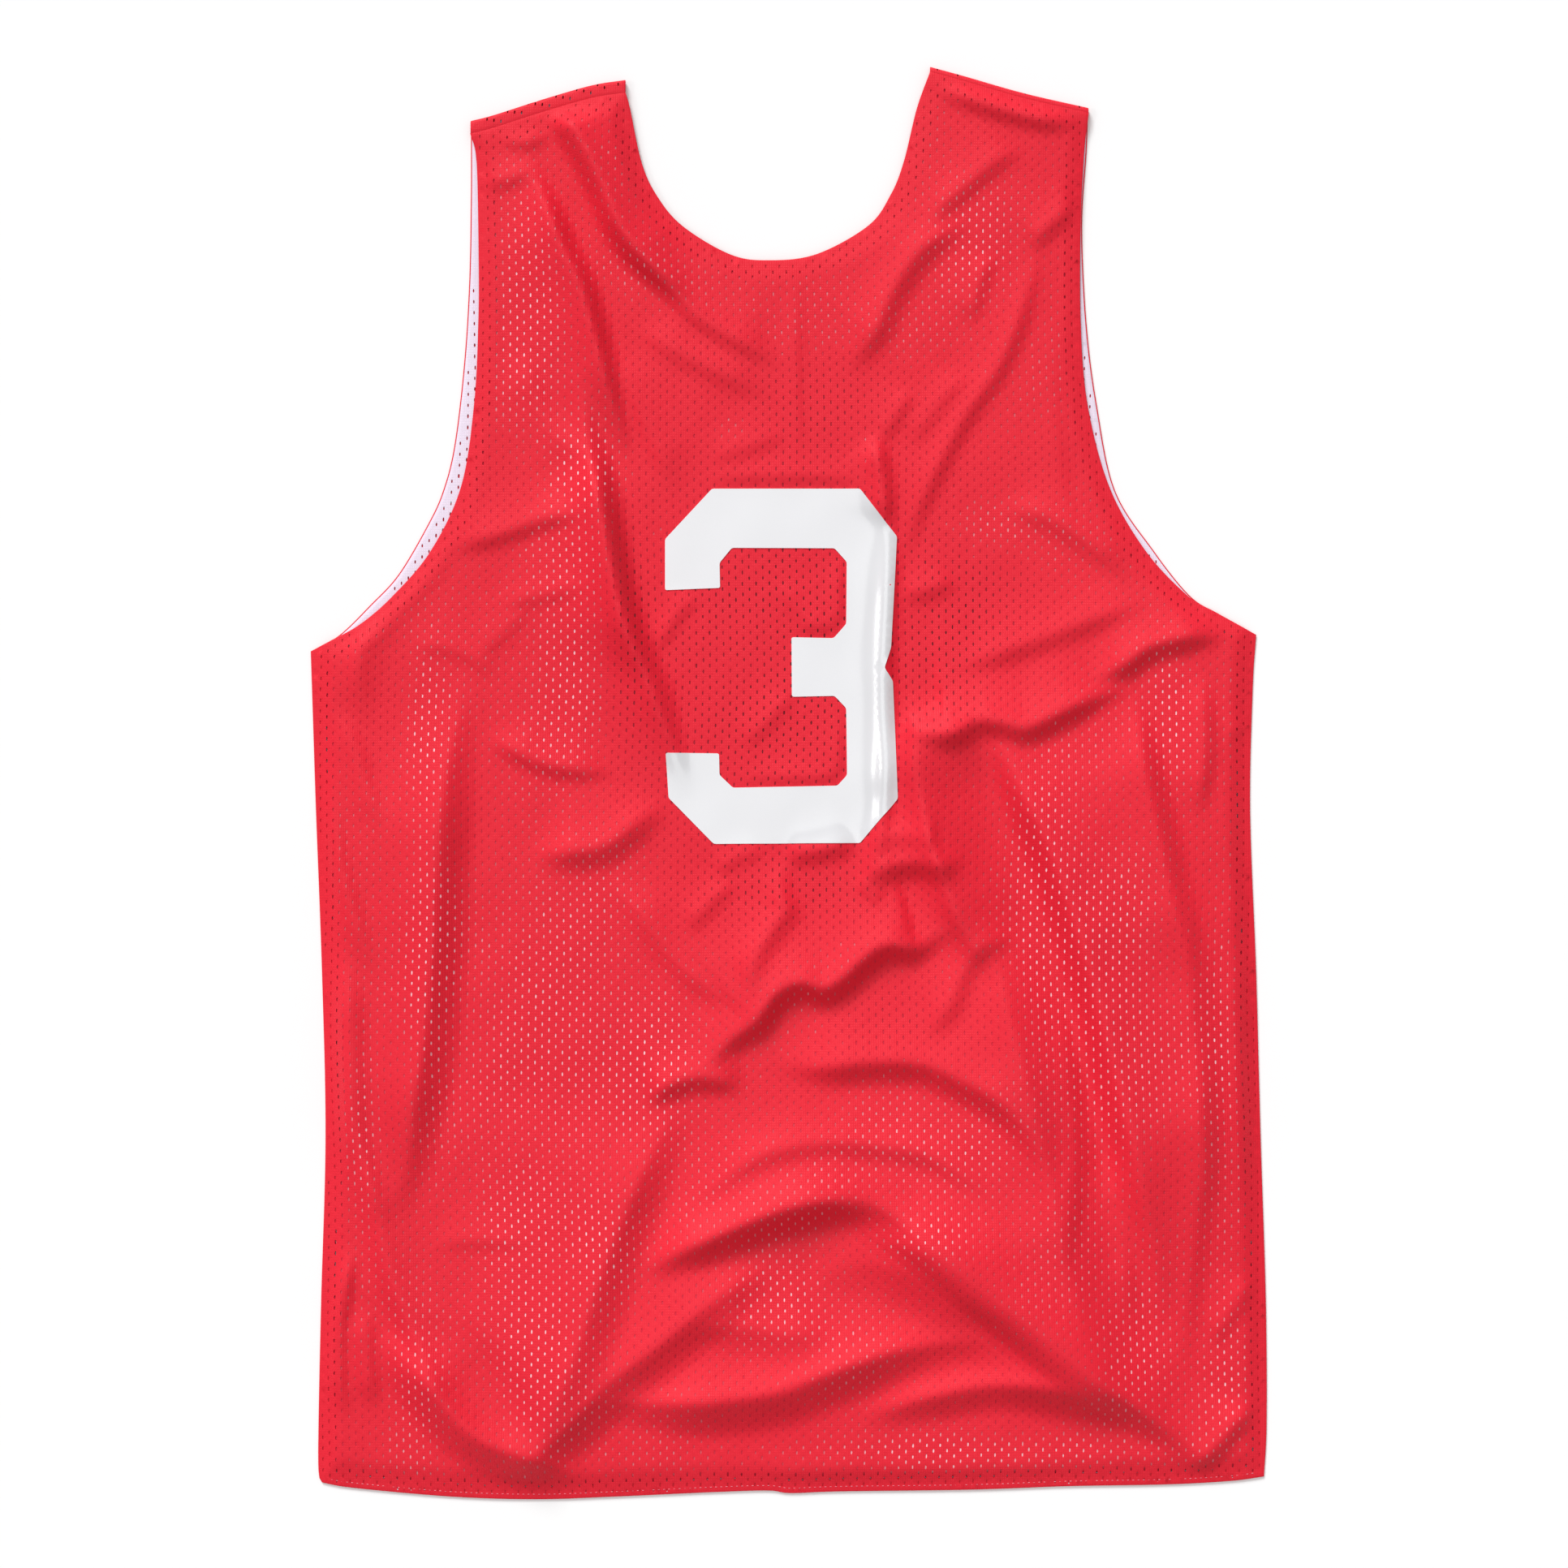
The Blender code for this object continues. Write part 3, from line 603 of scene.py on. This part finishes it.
# six-sided cells round staggered holes, all those whose middles are clear of the outline, and the
# rims of the holes nearer to it
def netCells(outline, net, keepOut):
    column, row = net["column"], net["row"]
    low, high = outline.min(axis=0) - net["margin"], outline.max(axis=0) + net["margin"]
    i, j = np.meshgrid(np.arange(int(low[0] / column), int(high[0] / column)),
                       np.arange(int(low[1] / row), int(high[1] / row)), indexing="ij")
    centres = np.column_stack([(i * column).ravel(), ((j + (i % 2) / 2) * row).ravel()])
    placed = placeNet(centres, net)
    centres = centres[insideLoop(placed, outline)]
    placed = placeNet(centres, net)
    fromEdge = fromLoop(placed, outline[::2])
    clear = fromEdge > net["edgeClear"]
    holed = fromEdge > net["holeClear"]
    if keepOut is not None:
        plain, bent = keepOut(placed)
        clear &= ~plain
        holed &= ~bent
    single = centres[holed & ~clear]
    centres = centres[clear]

    half = row / 2
    small = (column**2 - half**2) / (2 * column)
    corner = sixSided(column - small, small, half)
    wide = net["holeWide"] / 2
    hole = sixSided(wide, net["holeCorner"] * wide, net["holeLong"] / 2)
    chance = np.random.default_rng(net["seed"])
    size = chance.uniform(*net["sizes"], (len(centres), 1, 2))
    off = chance.uniform(-net["off"], net["off"], (len(centres), 1, 2))
    corners = (centres[:, None] + corner).reshape(-1, 2)
    holes = (centres[:, None] + hole * size + off).reshape(-1, 2)
    singleRims = placeNet((single[:, None] + hole * net["singleHole"]).reshape(-1, 2), net)
    keys = np.round(corners * 100).astype(np.int64)
    keys = keys[:, 0] * 10**7 + keys[:, 1]
    _, first, which = np.unique(keys, return_index=True, return_inverse=True)
    which = which.reshape(-1, 6)
    rims = len(first) + np.arange(len(holes)).reshape(-1, 6)
    faces = [np.column_stack([which[:, k], which[:, (k + 1) % 6], rims[:, (k + 1) % 6], rims[:, k]])
             for k in range(6)]
    sides = np.vstack([np.column_stack([which[:, k], which[:, (k + 1) % 6]]) for k in range(6)])
    names = np.sort(sides, axis=1)
    names = names[:, 0] * len(first) + names[:, 1]
    _, at, times = np.unique(names, return_index=True, return_counts=True)
    points = placeNet(np.vstack([corners[first], holes]), net)
    return points, len(first), np.vstack(faces), sides[at[times == 1]], singleRims


# faces between spots that keep the given edges, and the spot that each point of them came from
def joined(spots, sides, insideOnly=False):
    spots = [Vector(spot) for spot in spots]
    made, _, faces, source, *_ = delaunay_2d_cdt(spots, sides, [], int(insideOnly), 1e-5)
    return np.array([tuple(spot) for spot in made]), faces, source


def loopSides(count):
    return [(k, (k + 1) % count) for k in range(count)]


# plain cloth at the edges: a row of points inside it, room round its holes, and where the painted
# shade of the turning beneath it is weaker
border = {"innerRow": 2.0, "innerClear": 1.2, "holeRoom": 1.5, "lessShadeBelow": -385, "light": 0.2,
          "turnedFrom": -2}


# cloth between the net's ragged edge and the outline, with single holes in it
def plainBorder(outline, rims, extra, cellPoints, ragged):
    used = np.unique(ragged)
    renumber = np.full(len(cellPoints), -1)
    renumber[used] = len(outline) + np.arange(len(used))
    holes = rims.reshape(-1, 6, 2).mean(axis=1)
    apart = np.linalg.norm(extra[:, None] - holes[None], axis=2).min(axis=1)
    spots = np.vstack([outline, cellPoints[used], rims, extra[apart > border["holeRoom"]]])
    numbers = (len(outline) + len(used) + np.arange(len(rims))).reshape(-1, 6)
    rimSides = np.stack([numbers, np.roll(numbers, -1, axis=1)], axis=2).reshape(-1, 2)
    sides = np.vstack([loopSides(len(outline)), renumber[ragged], rimSides])
    made, faces, source = joined(spots, sides.tolist())
    middles = np.array([made[list(face)].mean(axis=0) for face in faces])
    kept = insideEdges(middles, spots[sides[:, 0]], spots[sides[:, 1]])
    return made, source, [face for face, keep in zip(faces, kept) if keep], used


def addToScene(name, data):
    added = bpy.data.objects.new(name, data)
    bpy.context.scene.collection.objects.link(added)
    return added


def newPiece(name, points, faces, material):
    mesh = bpy.data.meshes.new(name)
    mesh.from_pydata((np.array(points) * mm).tolist(), [], faces)
    mesh.shade_smooth()
    mesh.materials.append(material)
    return addToScene(name, mesh)


# a net sheet: cells, plain border, rolled edge and the turning that is sewn beneath it
def netSheet(name, outline, net, lay, rolled, material, keepOut=None, extra=(), faceDown=False,
             paintedShade=None):
    points, cornerCount, faces, ragged, rims = netCells(outline, net, keepOut)
    off = np.zeros(len(points))
    raised = np.random.default_rng(net["seed"]).uniform(0.5, 1.5, cornerCount) * net["raised"]
    off[:cornerCount] = -raised if faceDown else raised
    faces = faces.tolist()

    inner = movedIn(outline, border["innerRow"])
    inner = inner[insideLoop(inner, movedIn(outline, border["innerClear"]))]
    extra = np.vstack([inner] + [np.array(e) for e in extra])
    made, source, filled, used = plainBorder(outline, rims, extra, points, ragged)
    numbers = np.zeros(len(made), dtype=int)
    added = []
    for k, origins in enumerate(source):
        origin = origins[0] if origins else -1
        if len(outline) <= origin < len(outline) + len(used):
            numbers[k] = used[origin - len(outline)]
        else:
            numbers[k] = len(points) + len(added)
            added.append(k)
    rimStart = {source[k][0]: numbers[k] for k in added if source[k]}
    faces += [[int(numbers[c]) for c in face] for face in filled]
    points = np.vstack([points, made[added]])
    off = np.concatenate([off, np.zeros(len(added))])

    # painted shade on each point, from the given function or none, which the material reads
    shade = paintedShade(points) if paintedShade is not None else np.zeros(len(points))
    ring = np.array([rimStart[k] for k in range(len(outline))])
    for out, down in rolled:
        row = len(points) + np.arange(len(outline))
        points = np.vstack([points, movedIn(outline, -out)])
        off = np.concatenate([off, np.full(len(outline), down)])
        # the turning under the edge gets painted shade, weaker along the hem
        turned = np.where(outline[:, 1] < border["lessShadeBelow"], border["light"], 1.0)
        shade = np.concatenate([shade, turned * (out < border["turnedFrom"])])
        faces += np.column_stack([ring, row, np.roll(row, -1), np.roll(ring, -1)]).tolist()
        ring = row

    if faceDown:
        faces = [face[::-1] for face in faces]
    piece = newPiece(name, lay(points, off), faces, material)
    piece.data.attributes.new("paintedShade", "FLOAT", "POINT").data.foreach_set("value", shade)
    piece.data.validate()
    print(name, "has", sum(len(face) - 2 for face in faces), "triangles")
    return piece


# above zero if the loop runs anticlockwise
def signedArea(loop):
    after = np.roll(loop, -1, axis=0)
    return float(np.sum(loop[:, 0] * after[:, 1] - after[:, 0] * loop[:, 1])) / 2 * mm * mm


# an output of a material's nodes, which can be used in sums
class Wire:
    def __init__(self, tree, socket=None):
        self.tree = tree
        self.socket = socket

    def node(self, kind, settings=None, sockets=None, out=0):
        made = self.tree.nodes.new(kind)
        for name, value in (settings or {}).items():
            setattr(made, name, value)
        for name, value in (sockets or {}).items():
            if isinstance(value, Wire):
                self.tree.links.new(value.socket, made.inputs[name])
            else:
                made.inputs[name].default_value = value
        return Wire(self.tree, made.outputs[out])

    def maths(self, operation, first, second=0.0):
        return self.node("ShaderNodeMath", {"operation": operation}, {0: first, 1: second})

    def __add__(self, other):
        return self.maths("ADD", self, other)

    __radd__ = __add__

    def __sub__(self, other):
        return self.maths("SUBTRACT", self, other)

    def __rsub__(self, other):
        return self.maths("SUBTRACT", other, self)

    def __mul__(self, other):
        return self.maths("MULTIPLY", self, other)

    __rmul__ = __mul__

    def sine(self):
        return self.maths("SINE", self)

    def between(self, low, high):
        return self.node("ShaderNodeMapRange", None,
                         {"Value": self, "From Min": low, "From Max": high})

    def mix(self, first, second):
        return self.node("ShaderNodeMix", {"data_type": "RGBA"}, {0: self, 6: first, 7: second}, 2)

    def bump(self, strength, depth):
        return self.node("ShaderNodeBump", None,
                         {"Strength": strength, "Distance": depth * mm, "Height": self})


# a material with its shader, and the place on a piece that its textures start from
def newMaterial(name, settings):
    material = bpy.data.materials.new(name)
    material.use_nodes = True
    shader = material.node_tree.nodes["Principled BSDF"]
    for socket, value in settings.items():
        shader.inputs[socket].default_value = value
    return material, shader, Wire(material.node_tree).node("ShaderNodeTexCoord", out=3)


def feed(shader, socket, wire):
    wire.tree.links.new(wire.socket, shader.inputs[socket])


def noise(place, scale, detail=2.0, roughness=0.5):
    return place.node("ShaderNodeTexNoise", None,
                      {"Vector": place, "Scale": scale, "Detail": detail, "Roughness": roughness})


# loops of the knitting: upright wales and the courses across them
def knit(place):
    across = place.node("ShaderNodeSeparateXYZ", None, {0: place})
    up = Wire(place.tree, across.socket.node.outputs[1])
    lean = (up * (2 * math.pi / grain["course"])).sine()
    wales = (across * (2 * math.pi / grain["wale"]) + lean * 0.9).sine()
    return wales * 0.6 + lean * 0.4


# looks: main colour, a deeper one in patches, and two of painted shade for cloth that other cloth
# covers, the second darker for deep holes
redCloth = {
    "colour": (0.775, 0.017, 0.036, 1),
    "deep": (0.735, 0.0115, 0.030, 1),
    "paintedShade": (0.62, 0.010, 0.026, 1),
    "dark": (0.2, 0.004, 0.008, 1),
    "settings": {"Roughness": 0.50, "Specular IOR Level": 0.20, "Sheen Weight": 0.03,
                 "Sheen Roughness": 0.45, "Sheen Tint": (1.0, 0.55, 0.62, 1)},
}
whiteCloth = {
    "colour": (0.84, 0.74, 0.86, 1),
    "deep": (0.78, 0.67, 0.80, 1),
    "paintedShade": (0.78, 0.67, 0.80, 1),
    "dark": (0.5, 0.4, 0.5, 1),
    "settings": {"Roughness": 0.75, "Specular IOR Level": 0.25, "Sheen Weight": 0.10,
                 "Sheen Roughness": 0.5},
}
# the back's lining: its white painted pink for red light through the net, with painted red and near
# black shade for holes
paintedLiningLook = whiteCloth | {"colour": (0.99, 0.62, 0.66, 1), "deep": (0.97, 0.46, 0.52, 1),
                            "paintedShade": (0.66, 0.014, 0.04, 1), "dark": (0.10, 0.004, 0.008, 1)}
film = {
    "colour": (0.71, 0.71, 0.73, 1),
    "deep": (0.68, 0.68, 0.70, 1),
    "settings": {"Roughness": 0.19, "Specular IOR Level": 0.80},
}
threadLook = whiteCloth | {"colour": (0.90, 0.36, 0.42, 1), "deep": (0.78, 0.16, 0.24, 1),
                           "settings": {"Roughness": 0.55, "Specular IOR Level": 0.4}}

# grain of the cloth and of the film: how many patches and fibres to a metre, detail and roughness
# of each, and how deep the relief is; the loops of the knitting are in metres
grain = {
    "patches": (9.0, 3.0), "fibres": (900.0, 2.0, 0.7), "wale": 0.0013, "course": 0.0009,
    "fibreRelief": 0.7, "clothBump": 0.6,
    "filmPatches": (14.0, 2.0), "filmWaves": (90.0, 3.0), "filmGrain": (700.0, 2.0),
    "grainRelief": 0.3, "filmBump": 0.3, "filmDepth": 0.15,
}


def clothMaterial(name, look, knitDepth):
    material, shader, place = newMaterial(name, look["settings"])
    patches = noise(place, *grain["patches"]).between(0.35, 0.65)
    fibres = noise(place, *grain["fibres"]).between(0.3, 0.7)
    shade = patches * 0.5 + fibres * 0.5
    # painted shade read from the points: 1 gives the colour of painted shade, 2 the dark painted
    # shade of deep holes
    paintedShade = place.node("ShaderNodeAttribute", {"attribute_name": "paintedShade"}, out=2)
    lit = paintedShade.mix(shade.mix(look["colour"], look["deep"]), look["paintedShade"])
    feed(shader, "Base Color", (paintedShade - 1.0).mix(lit, look["dark"]))
    relief = knit(place) + fibres * grain["fibreRelief"]
    feed(shader, "Normal", relief.bump(grain["clothBump"], knitDepth))
    return material


def filmMaterial(name, look):
    material, shader, place = newMaterial(name, look["settings"])
    patches = noise(place, *grain["filmPatches"]).between(0.3, 0.7)
    feed(shader, "Base Color", patches.mix(look["colour"], look["deep"]))
    fine = noise(place, *grain["filmGrain"]) * grain["grainRelief"]
    relief = noise(place, *grain["filmWaves"]) + fine
    feed(shader, "Normal", relief.bump(grain["filmBump"], grain["filmDepth"]))
    return material


redMaterial = clothMaterial("red_net", redCloth, 0.10)
whiteMaterial = clothMaterial("white_net", whiteCloth, 0.08)
paintedLiningMaterial = clothMaterial("white_net_behind_red", paintedLiningLook, 0.08)
filmFinish = filmMaterial("numeral_film", film)
threadMaterial = clothMaterial("pink_thread", threadLook, 0.05)
print("materials are made")

# camera straight above, as far up as gives the photo's frame
photo = {"wide": 902.0, "lens": 100.0, "sensor": 36.0, "middle": (-2.69, -0.58)}
lens = bpy.data.cameras.new("photo_camera")
lens.lens = photo["lens"]
lens.sensor_width = photo["sensor"]
lens.clip_end = 50.0
camera = addToScene("photo_camera", lens)
camera.location = (photo["middle"][0] * mm, photo["middle"][1] * mm,
                   photo["wide"] * mm * photo["lens"] / photo["sensor"])
bpy.context.scene.camera = camera

# for each light its strength, degrees across and where it comes from
studio = {
    "world": 0.37,
    "lights": {"softbox_far": (2.65, 24.0, (-0.33, 0.85, 0.58)),
               "softbox_above": (0.70, 40.0, (0.0, 0.0, 1.0)),
               "softbox_left": (0.25, 5.0, (-0.80, 0.04, 0.70))},
    "floor": (0.92, 0.92, 0.92, 1),
    "floorDeep": (0.915, 0.915, 0.915, 1),
    "floorWide": 40.0,
}


def makeStudio():
    bpy.context.scene.view_settings.view_transform = "Standard"
    world = bpy.data.worlds.new("studio")
    bpy.context.scene.world = world
    world.use_nodes = True
    background = world.node_tree.nodes["Background"].inputs
    background["Color"].default_value = (1, 1, 1, 1)
    background["Strength"].default_value = studio["world"]
    for name, (strength, size, way) in studio["lights"].items():
        sun = bpy.data.lights.new(name, "SUN")
        sun.energy = strength
        sun.angle = math.radians(size)
        light = addToScene(name, sun)
        light.rotation_mode = "QUATERNION"
        light.rotation_quaternion = Vector(way).to_track_quat("Z", "Y")
    bpy.ops.object.select_all(action="DESELECT")
    bpy.ops.mesh.primitive_plane_add(size=studio["floorWide"], location=(0, 0, -0.0002))
    floor = bpy.context.object
    floor.name = "floor"
    material, shader, place = newMaterial("floor", {"Roughness": 0.9, "Specular IOR Level": 0.1})
    patches = noise(place, 3.0).between(0.3, 0.7)
    feed(shader, "Base Color", patches.mix(studio["floor"], studio["floorDeep"]))
    floor.data.materials.append(material)


makeStudio()
print("studio is set up")

# rolled edges: how far out and how far up or down each row of points is from the outline
rolledUnder = [(0.30, -0.16), (0.38, -0.36), (0.10, -0.52), (-2.5, -0.40), (-5.0, -0.36),
               (-7.0, -0.36)]
rolledOver = [(0.24, 0.14), (0.26, 0.34), (0.02, 0.50), (-0.35, 0.46)]
liningEdge = [(0.10, -0.10)]


# past the axis of a shoulder turn: where cells stop, and where single holes stop and go on again
strapNet = {"cellsStop": -3.5, "holesStop": -1.2, "holesGoOn": 0.62 * math.pi * turnRadius}


def stretchedStraps(points):
    plain = np.zeros(len(points), dtype=bool)
    bent = np.zeros(len(points), dtype=bool)
    for near, _, past in strapTurns(points):
        plain |= near & (past > strapNet["cellsStop"])
        bent |= near & (past > strapNet["holesStop"]) & (past < strapNet["holesGoOn"])
    return plain, bent


# rows of points round the shoulder turns, which let the cloth bend there
def bendPoints():
    tops = np.vstack([shoulderTop(side)[1:-1] for side in ("Left", "Right")])
    points = np.vstack([risingSide(spot) for spot in tops])
    return points[insideLoop(points, movedIn(frontOutline(), 1.0))]


def makeFront():
    outline = frontOutline()
    piece = netSheet("front_net", outline, redNet, layFront, rolledOver, redMaterial,
                     stretchedStraps, [bendPoints()], faceDown=True)
    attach(piece, "root")
    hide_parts("front_panel")


# how far the linings are set in: at the sides and the hem, from where on, and at the other edges
liningIn = {"front": {"sides": 7.0, "other": 0.5, "beyond": 260, "shoulder": 1.0},
            "back": {"sides": 7.5, "other": 1.6, "beyond": 250, "below": -396}}


def setIn(outline, atSides, cut):
    far, little = movedIn(outline, cut["sides"]), movedIn(outline, cut["other"])
    return np.where(atSides[:, None], far, little)


def makeFrontLining():
    cut = liningIn["front"]
    stop = turnRadius + cut["shoulder"]
    outline = panelOutline("front", (-stop, -stop), neckFrom=2)
    outline = setIn(outline, np.abs(outline[:, 0]) > cut["beyond"], cut)
    piece = netSheet("front_lining_net", outline, whiteNet | {"phase": 4.4, "turn": -0.3},
                     layFrontLining, liningEdge, whiteMaterial)
    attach(piece, "root")
    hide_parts("front_lining")


def makeBackLining():
    outline = backOutline()
    cut = liningIn["back"]
    atSides = (np.abs(outline[:, 0]) > cut["beyond"]) | (outline[:, 1] < cut["below"])
    outline = setIn(outline, atSides, cut)
    piece = netSheet("back_lining_net", outline, whiteNet, layBackLining, liningEdge,
                     paintedLiningMaterial, paintedShade=behindNet)
    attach(piece, "root")
    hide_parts("back_lining")


def makeBack():
    outline = backOutline()
    piece = netSheet("back_net", outline, redNet, layBack, rolledUnder, redMaterial)
    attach(piece, "root")
    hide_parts("back_panel")


makeFront()
makeFrontLining()
makeBackLining()
makeBack()
print("the four layers are made")

numeral = {
    "outline": [
        (-71, 140), (-44, 169), (41, 169), (62, 141.5), (58.5, 78), (55, 66), (59.5, 58.5),
        (62.5, -9), (41, -34.5), (-43, -35), (-69, -8.5), (-70.5, 17.4), (-40, 17), (-39.7, 4.6),
        (-32, -2.7), (28, -1.5), (33.5, 4.6), (33, 43), (26.3, 50), (1.8, 49.5), (1.6, 83.7),
        (25.8, 83.2), (33, 91.4), (33.3, 127), (26.3, 134.8), (-32.6, 135), (-39.7, 126.4),
        (-39.4, 112), (-71, 110.7)],
    "cornerRound": 1.2,
    "aboveCloth": 0.12,
    "thick": 0.5,
    "grid": 2.6,
    "gridAcross": (-75, 70),
    "gridUp": (-40, 175),
    "gridClear": 0.6,       # of a step, from the outline
    "sharpFrom": 50,        # degrees
}


# straight sides with each corner cut by a small arc
def roundedLoop(spots, radius, step):
    spots = np.array(spots, dtype=float)
    points = []
    for before, spot, after in zip(np.roll(spots, 1, axis=0), spots, np.roll(spots, -1, axis=0)):
        start = spot + (before - spot) / np.linalg.norm(before - spot) * radius
        ahead = (after - spot) / np.linalg.norm(after - spot)
        end = spot + ahead * radius
        for t in (0, 0.33, 0.67, 1):
            points.append((1 - t)**2 * start + 2 * t * (1 - t) * spot + t**2 * end)
        gap = after - ahead * radius - end
        count = int(np.linalg.norm(gap) / step)
        for k in range(1, count):
            points.append(end + gap * k / count)
    return np.array(points)


def makeNumeral():
    outline = roundedLoop(numeral["outline"], numeral["cornerRound"], numeral["grid"])
    if signedArea(outline) < 0:
        outline = outline[::-1]
    grid = numeral["grid"]
    x, y = np.meshgrid(np.arange(*numeral["gridAcross"], grid), np.arange(*numeral["gridUp"], grid))
    x[1::2] += grid / 2
    inner = np.column_stack([x.ravel(), y.ravel()])
    inner = inner[insideLoop(inner, outline)]
    inner = inner[fromLoop(inner, outline) > grid * numeral["gridClear"]]
    made, faces, _ = joined(np.vstack([outline, inner]), loopSides(len(outline)), insideOnly=True)
    height = backHeight(made) + numeral["aboveCloth"]
    piece = newPiece("numeral", np.column_stack([made, height]), faces, filmFinish)
    wall = piece.modifiers.new("wall", "SOLIDIFY")
    wall.thickness = numeral["thick"] * mm
    wall.offset = 1
    bpy.ops.object.select_all(action="DESELECT")
    bpy.context.view_layer.objects.active = piece
    piece.select_set(True)
    bpy.ops.object.modifier_apply(modifier="wall")
    bpy.ops.object.shade_smooth_by_angle(angle=math.radians(numeral["sharpFrom"]))
    piece.select_set(False)
    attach(piece, "root")


makeNumeral()
print("the numeral is on the back")

stitching = {"fromEdge": 2.6, "every": 3.0, "long": 1.5, "wide": 0.38, "above": 0.10,
             "fromSides": 5.0, "square": 0.55}


def makeHemStitches():
    line = curveThrough(edges["hem"], 1.0)
    reach = np.concatenate([[0], np.cumsum(np.linalg.norm(np.diff(line, axis=0), axis=1))])
    clear = stitching["fromSides"]
    places = np.arange(clear, reach[-1] - clear, stitching["every"])
    x, y = (np.interp(places, reach, values) for values in line.T)
    way = np.column_stack([np.gradient(x), np.gradient(y)])
    way /= np.linalg.norm(way, axis=1)[:, None]
    side = np.column_stack([-way[:, 1], way[:, 0]])
    middle = np.column_stack([x, y]) + side * stitching["fromEdge"]
    height = backHeight(middle) + stitching["above"]
    long, wide = stitching["long"] / 2, stitching["wide"] / 2
    points, faces = [], []
    for at, along, across, up in zip(middle, way, side, height):
        first = len(points)
        points.append((*(at - along * long), up - wide))
        for share in (-stitching["square"], stitching["square"]):
            for sideways, raised in ((1, 0), (0, 1), (-1, 0), (0, -1)):
                spot = at + along * long * share + across * wide * sideways
                points.append((spot[0], spot[1], up + wide * raised))
        points.append((*(at + along * long), up - wide))
        for k in range(4):
            after = (k + 1) % 4
            faces.append((first, first + 1 + after, first + 1 + k))
            faces.append((first + 1 + k, first + 1 + after, first + 5 + after, first + 5 + k))
            faces.append((first + 9, first + 5 + k, first + 5 + after))
    piece = newPiece("hem_stitches", points, faces, threadMaterial)
    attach(piece, "root")


makeHemStitches()
print("the hem is stitched")
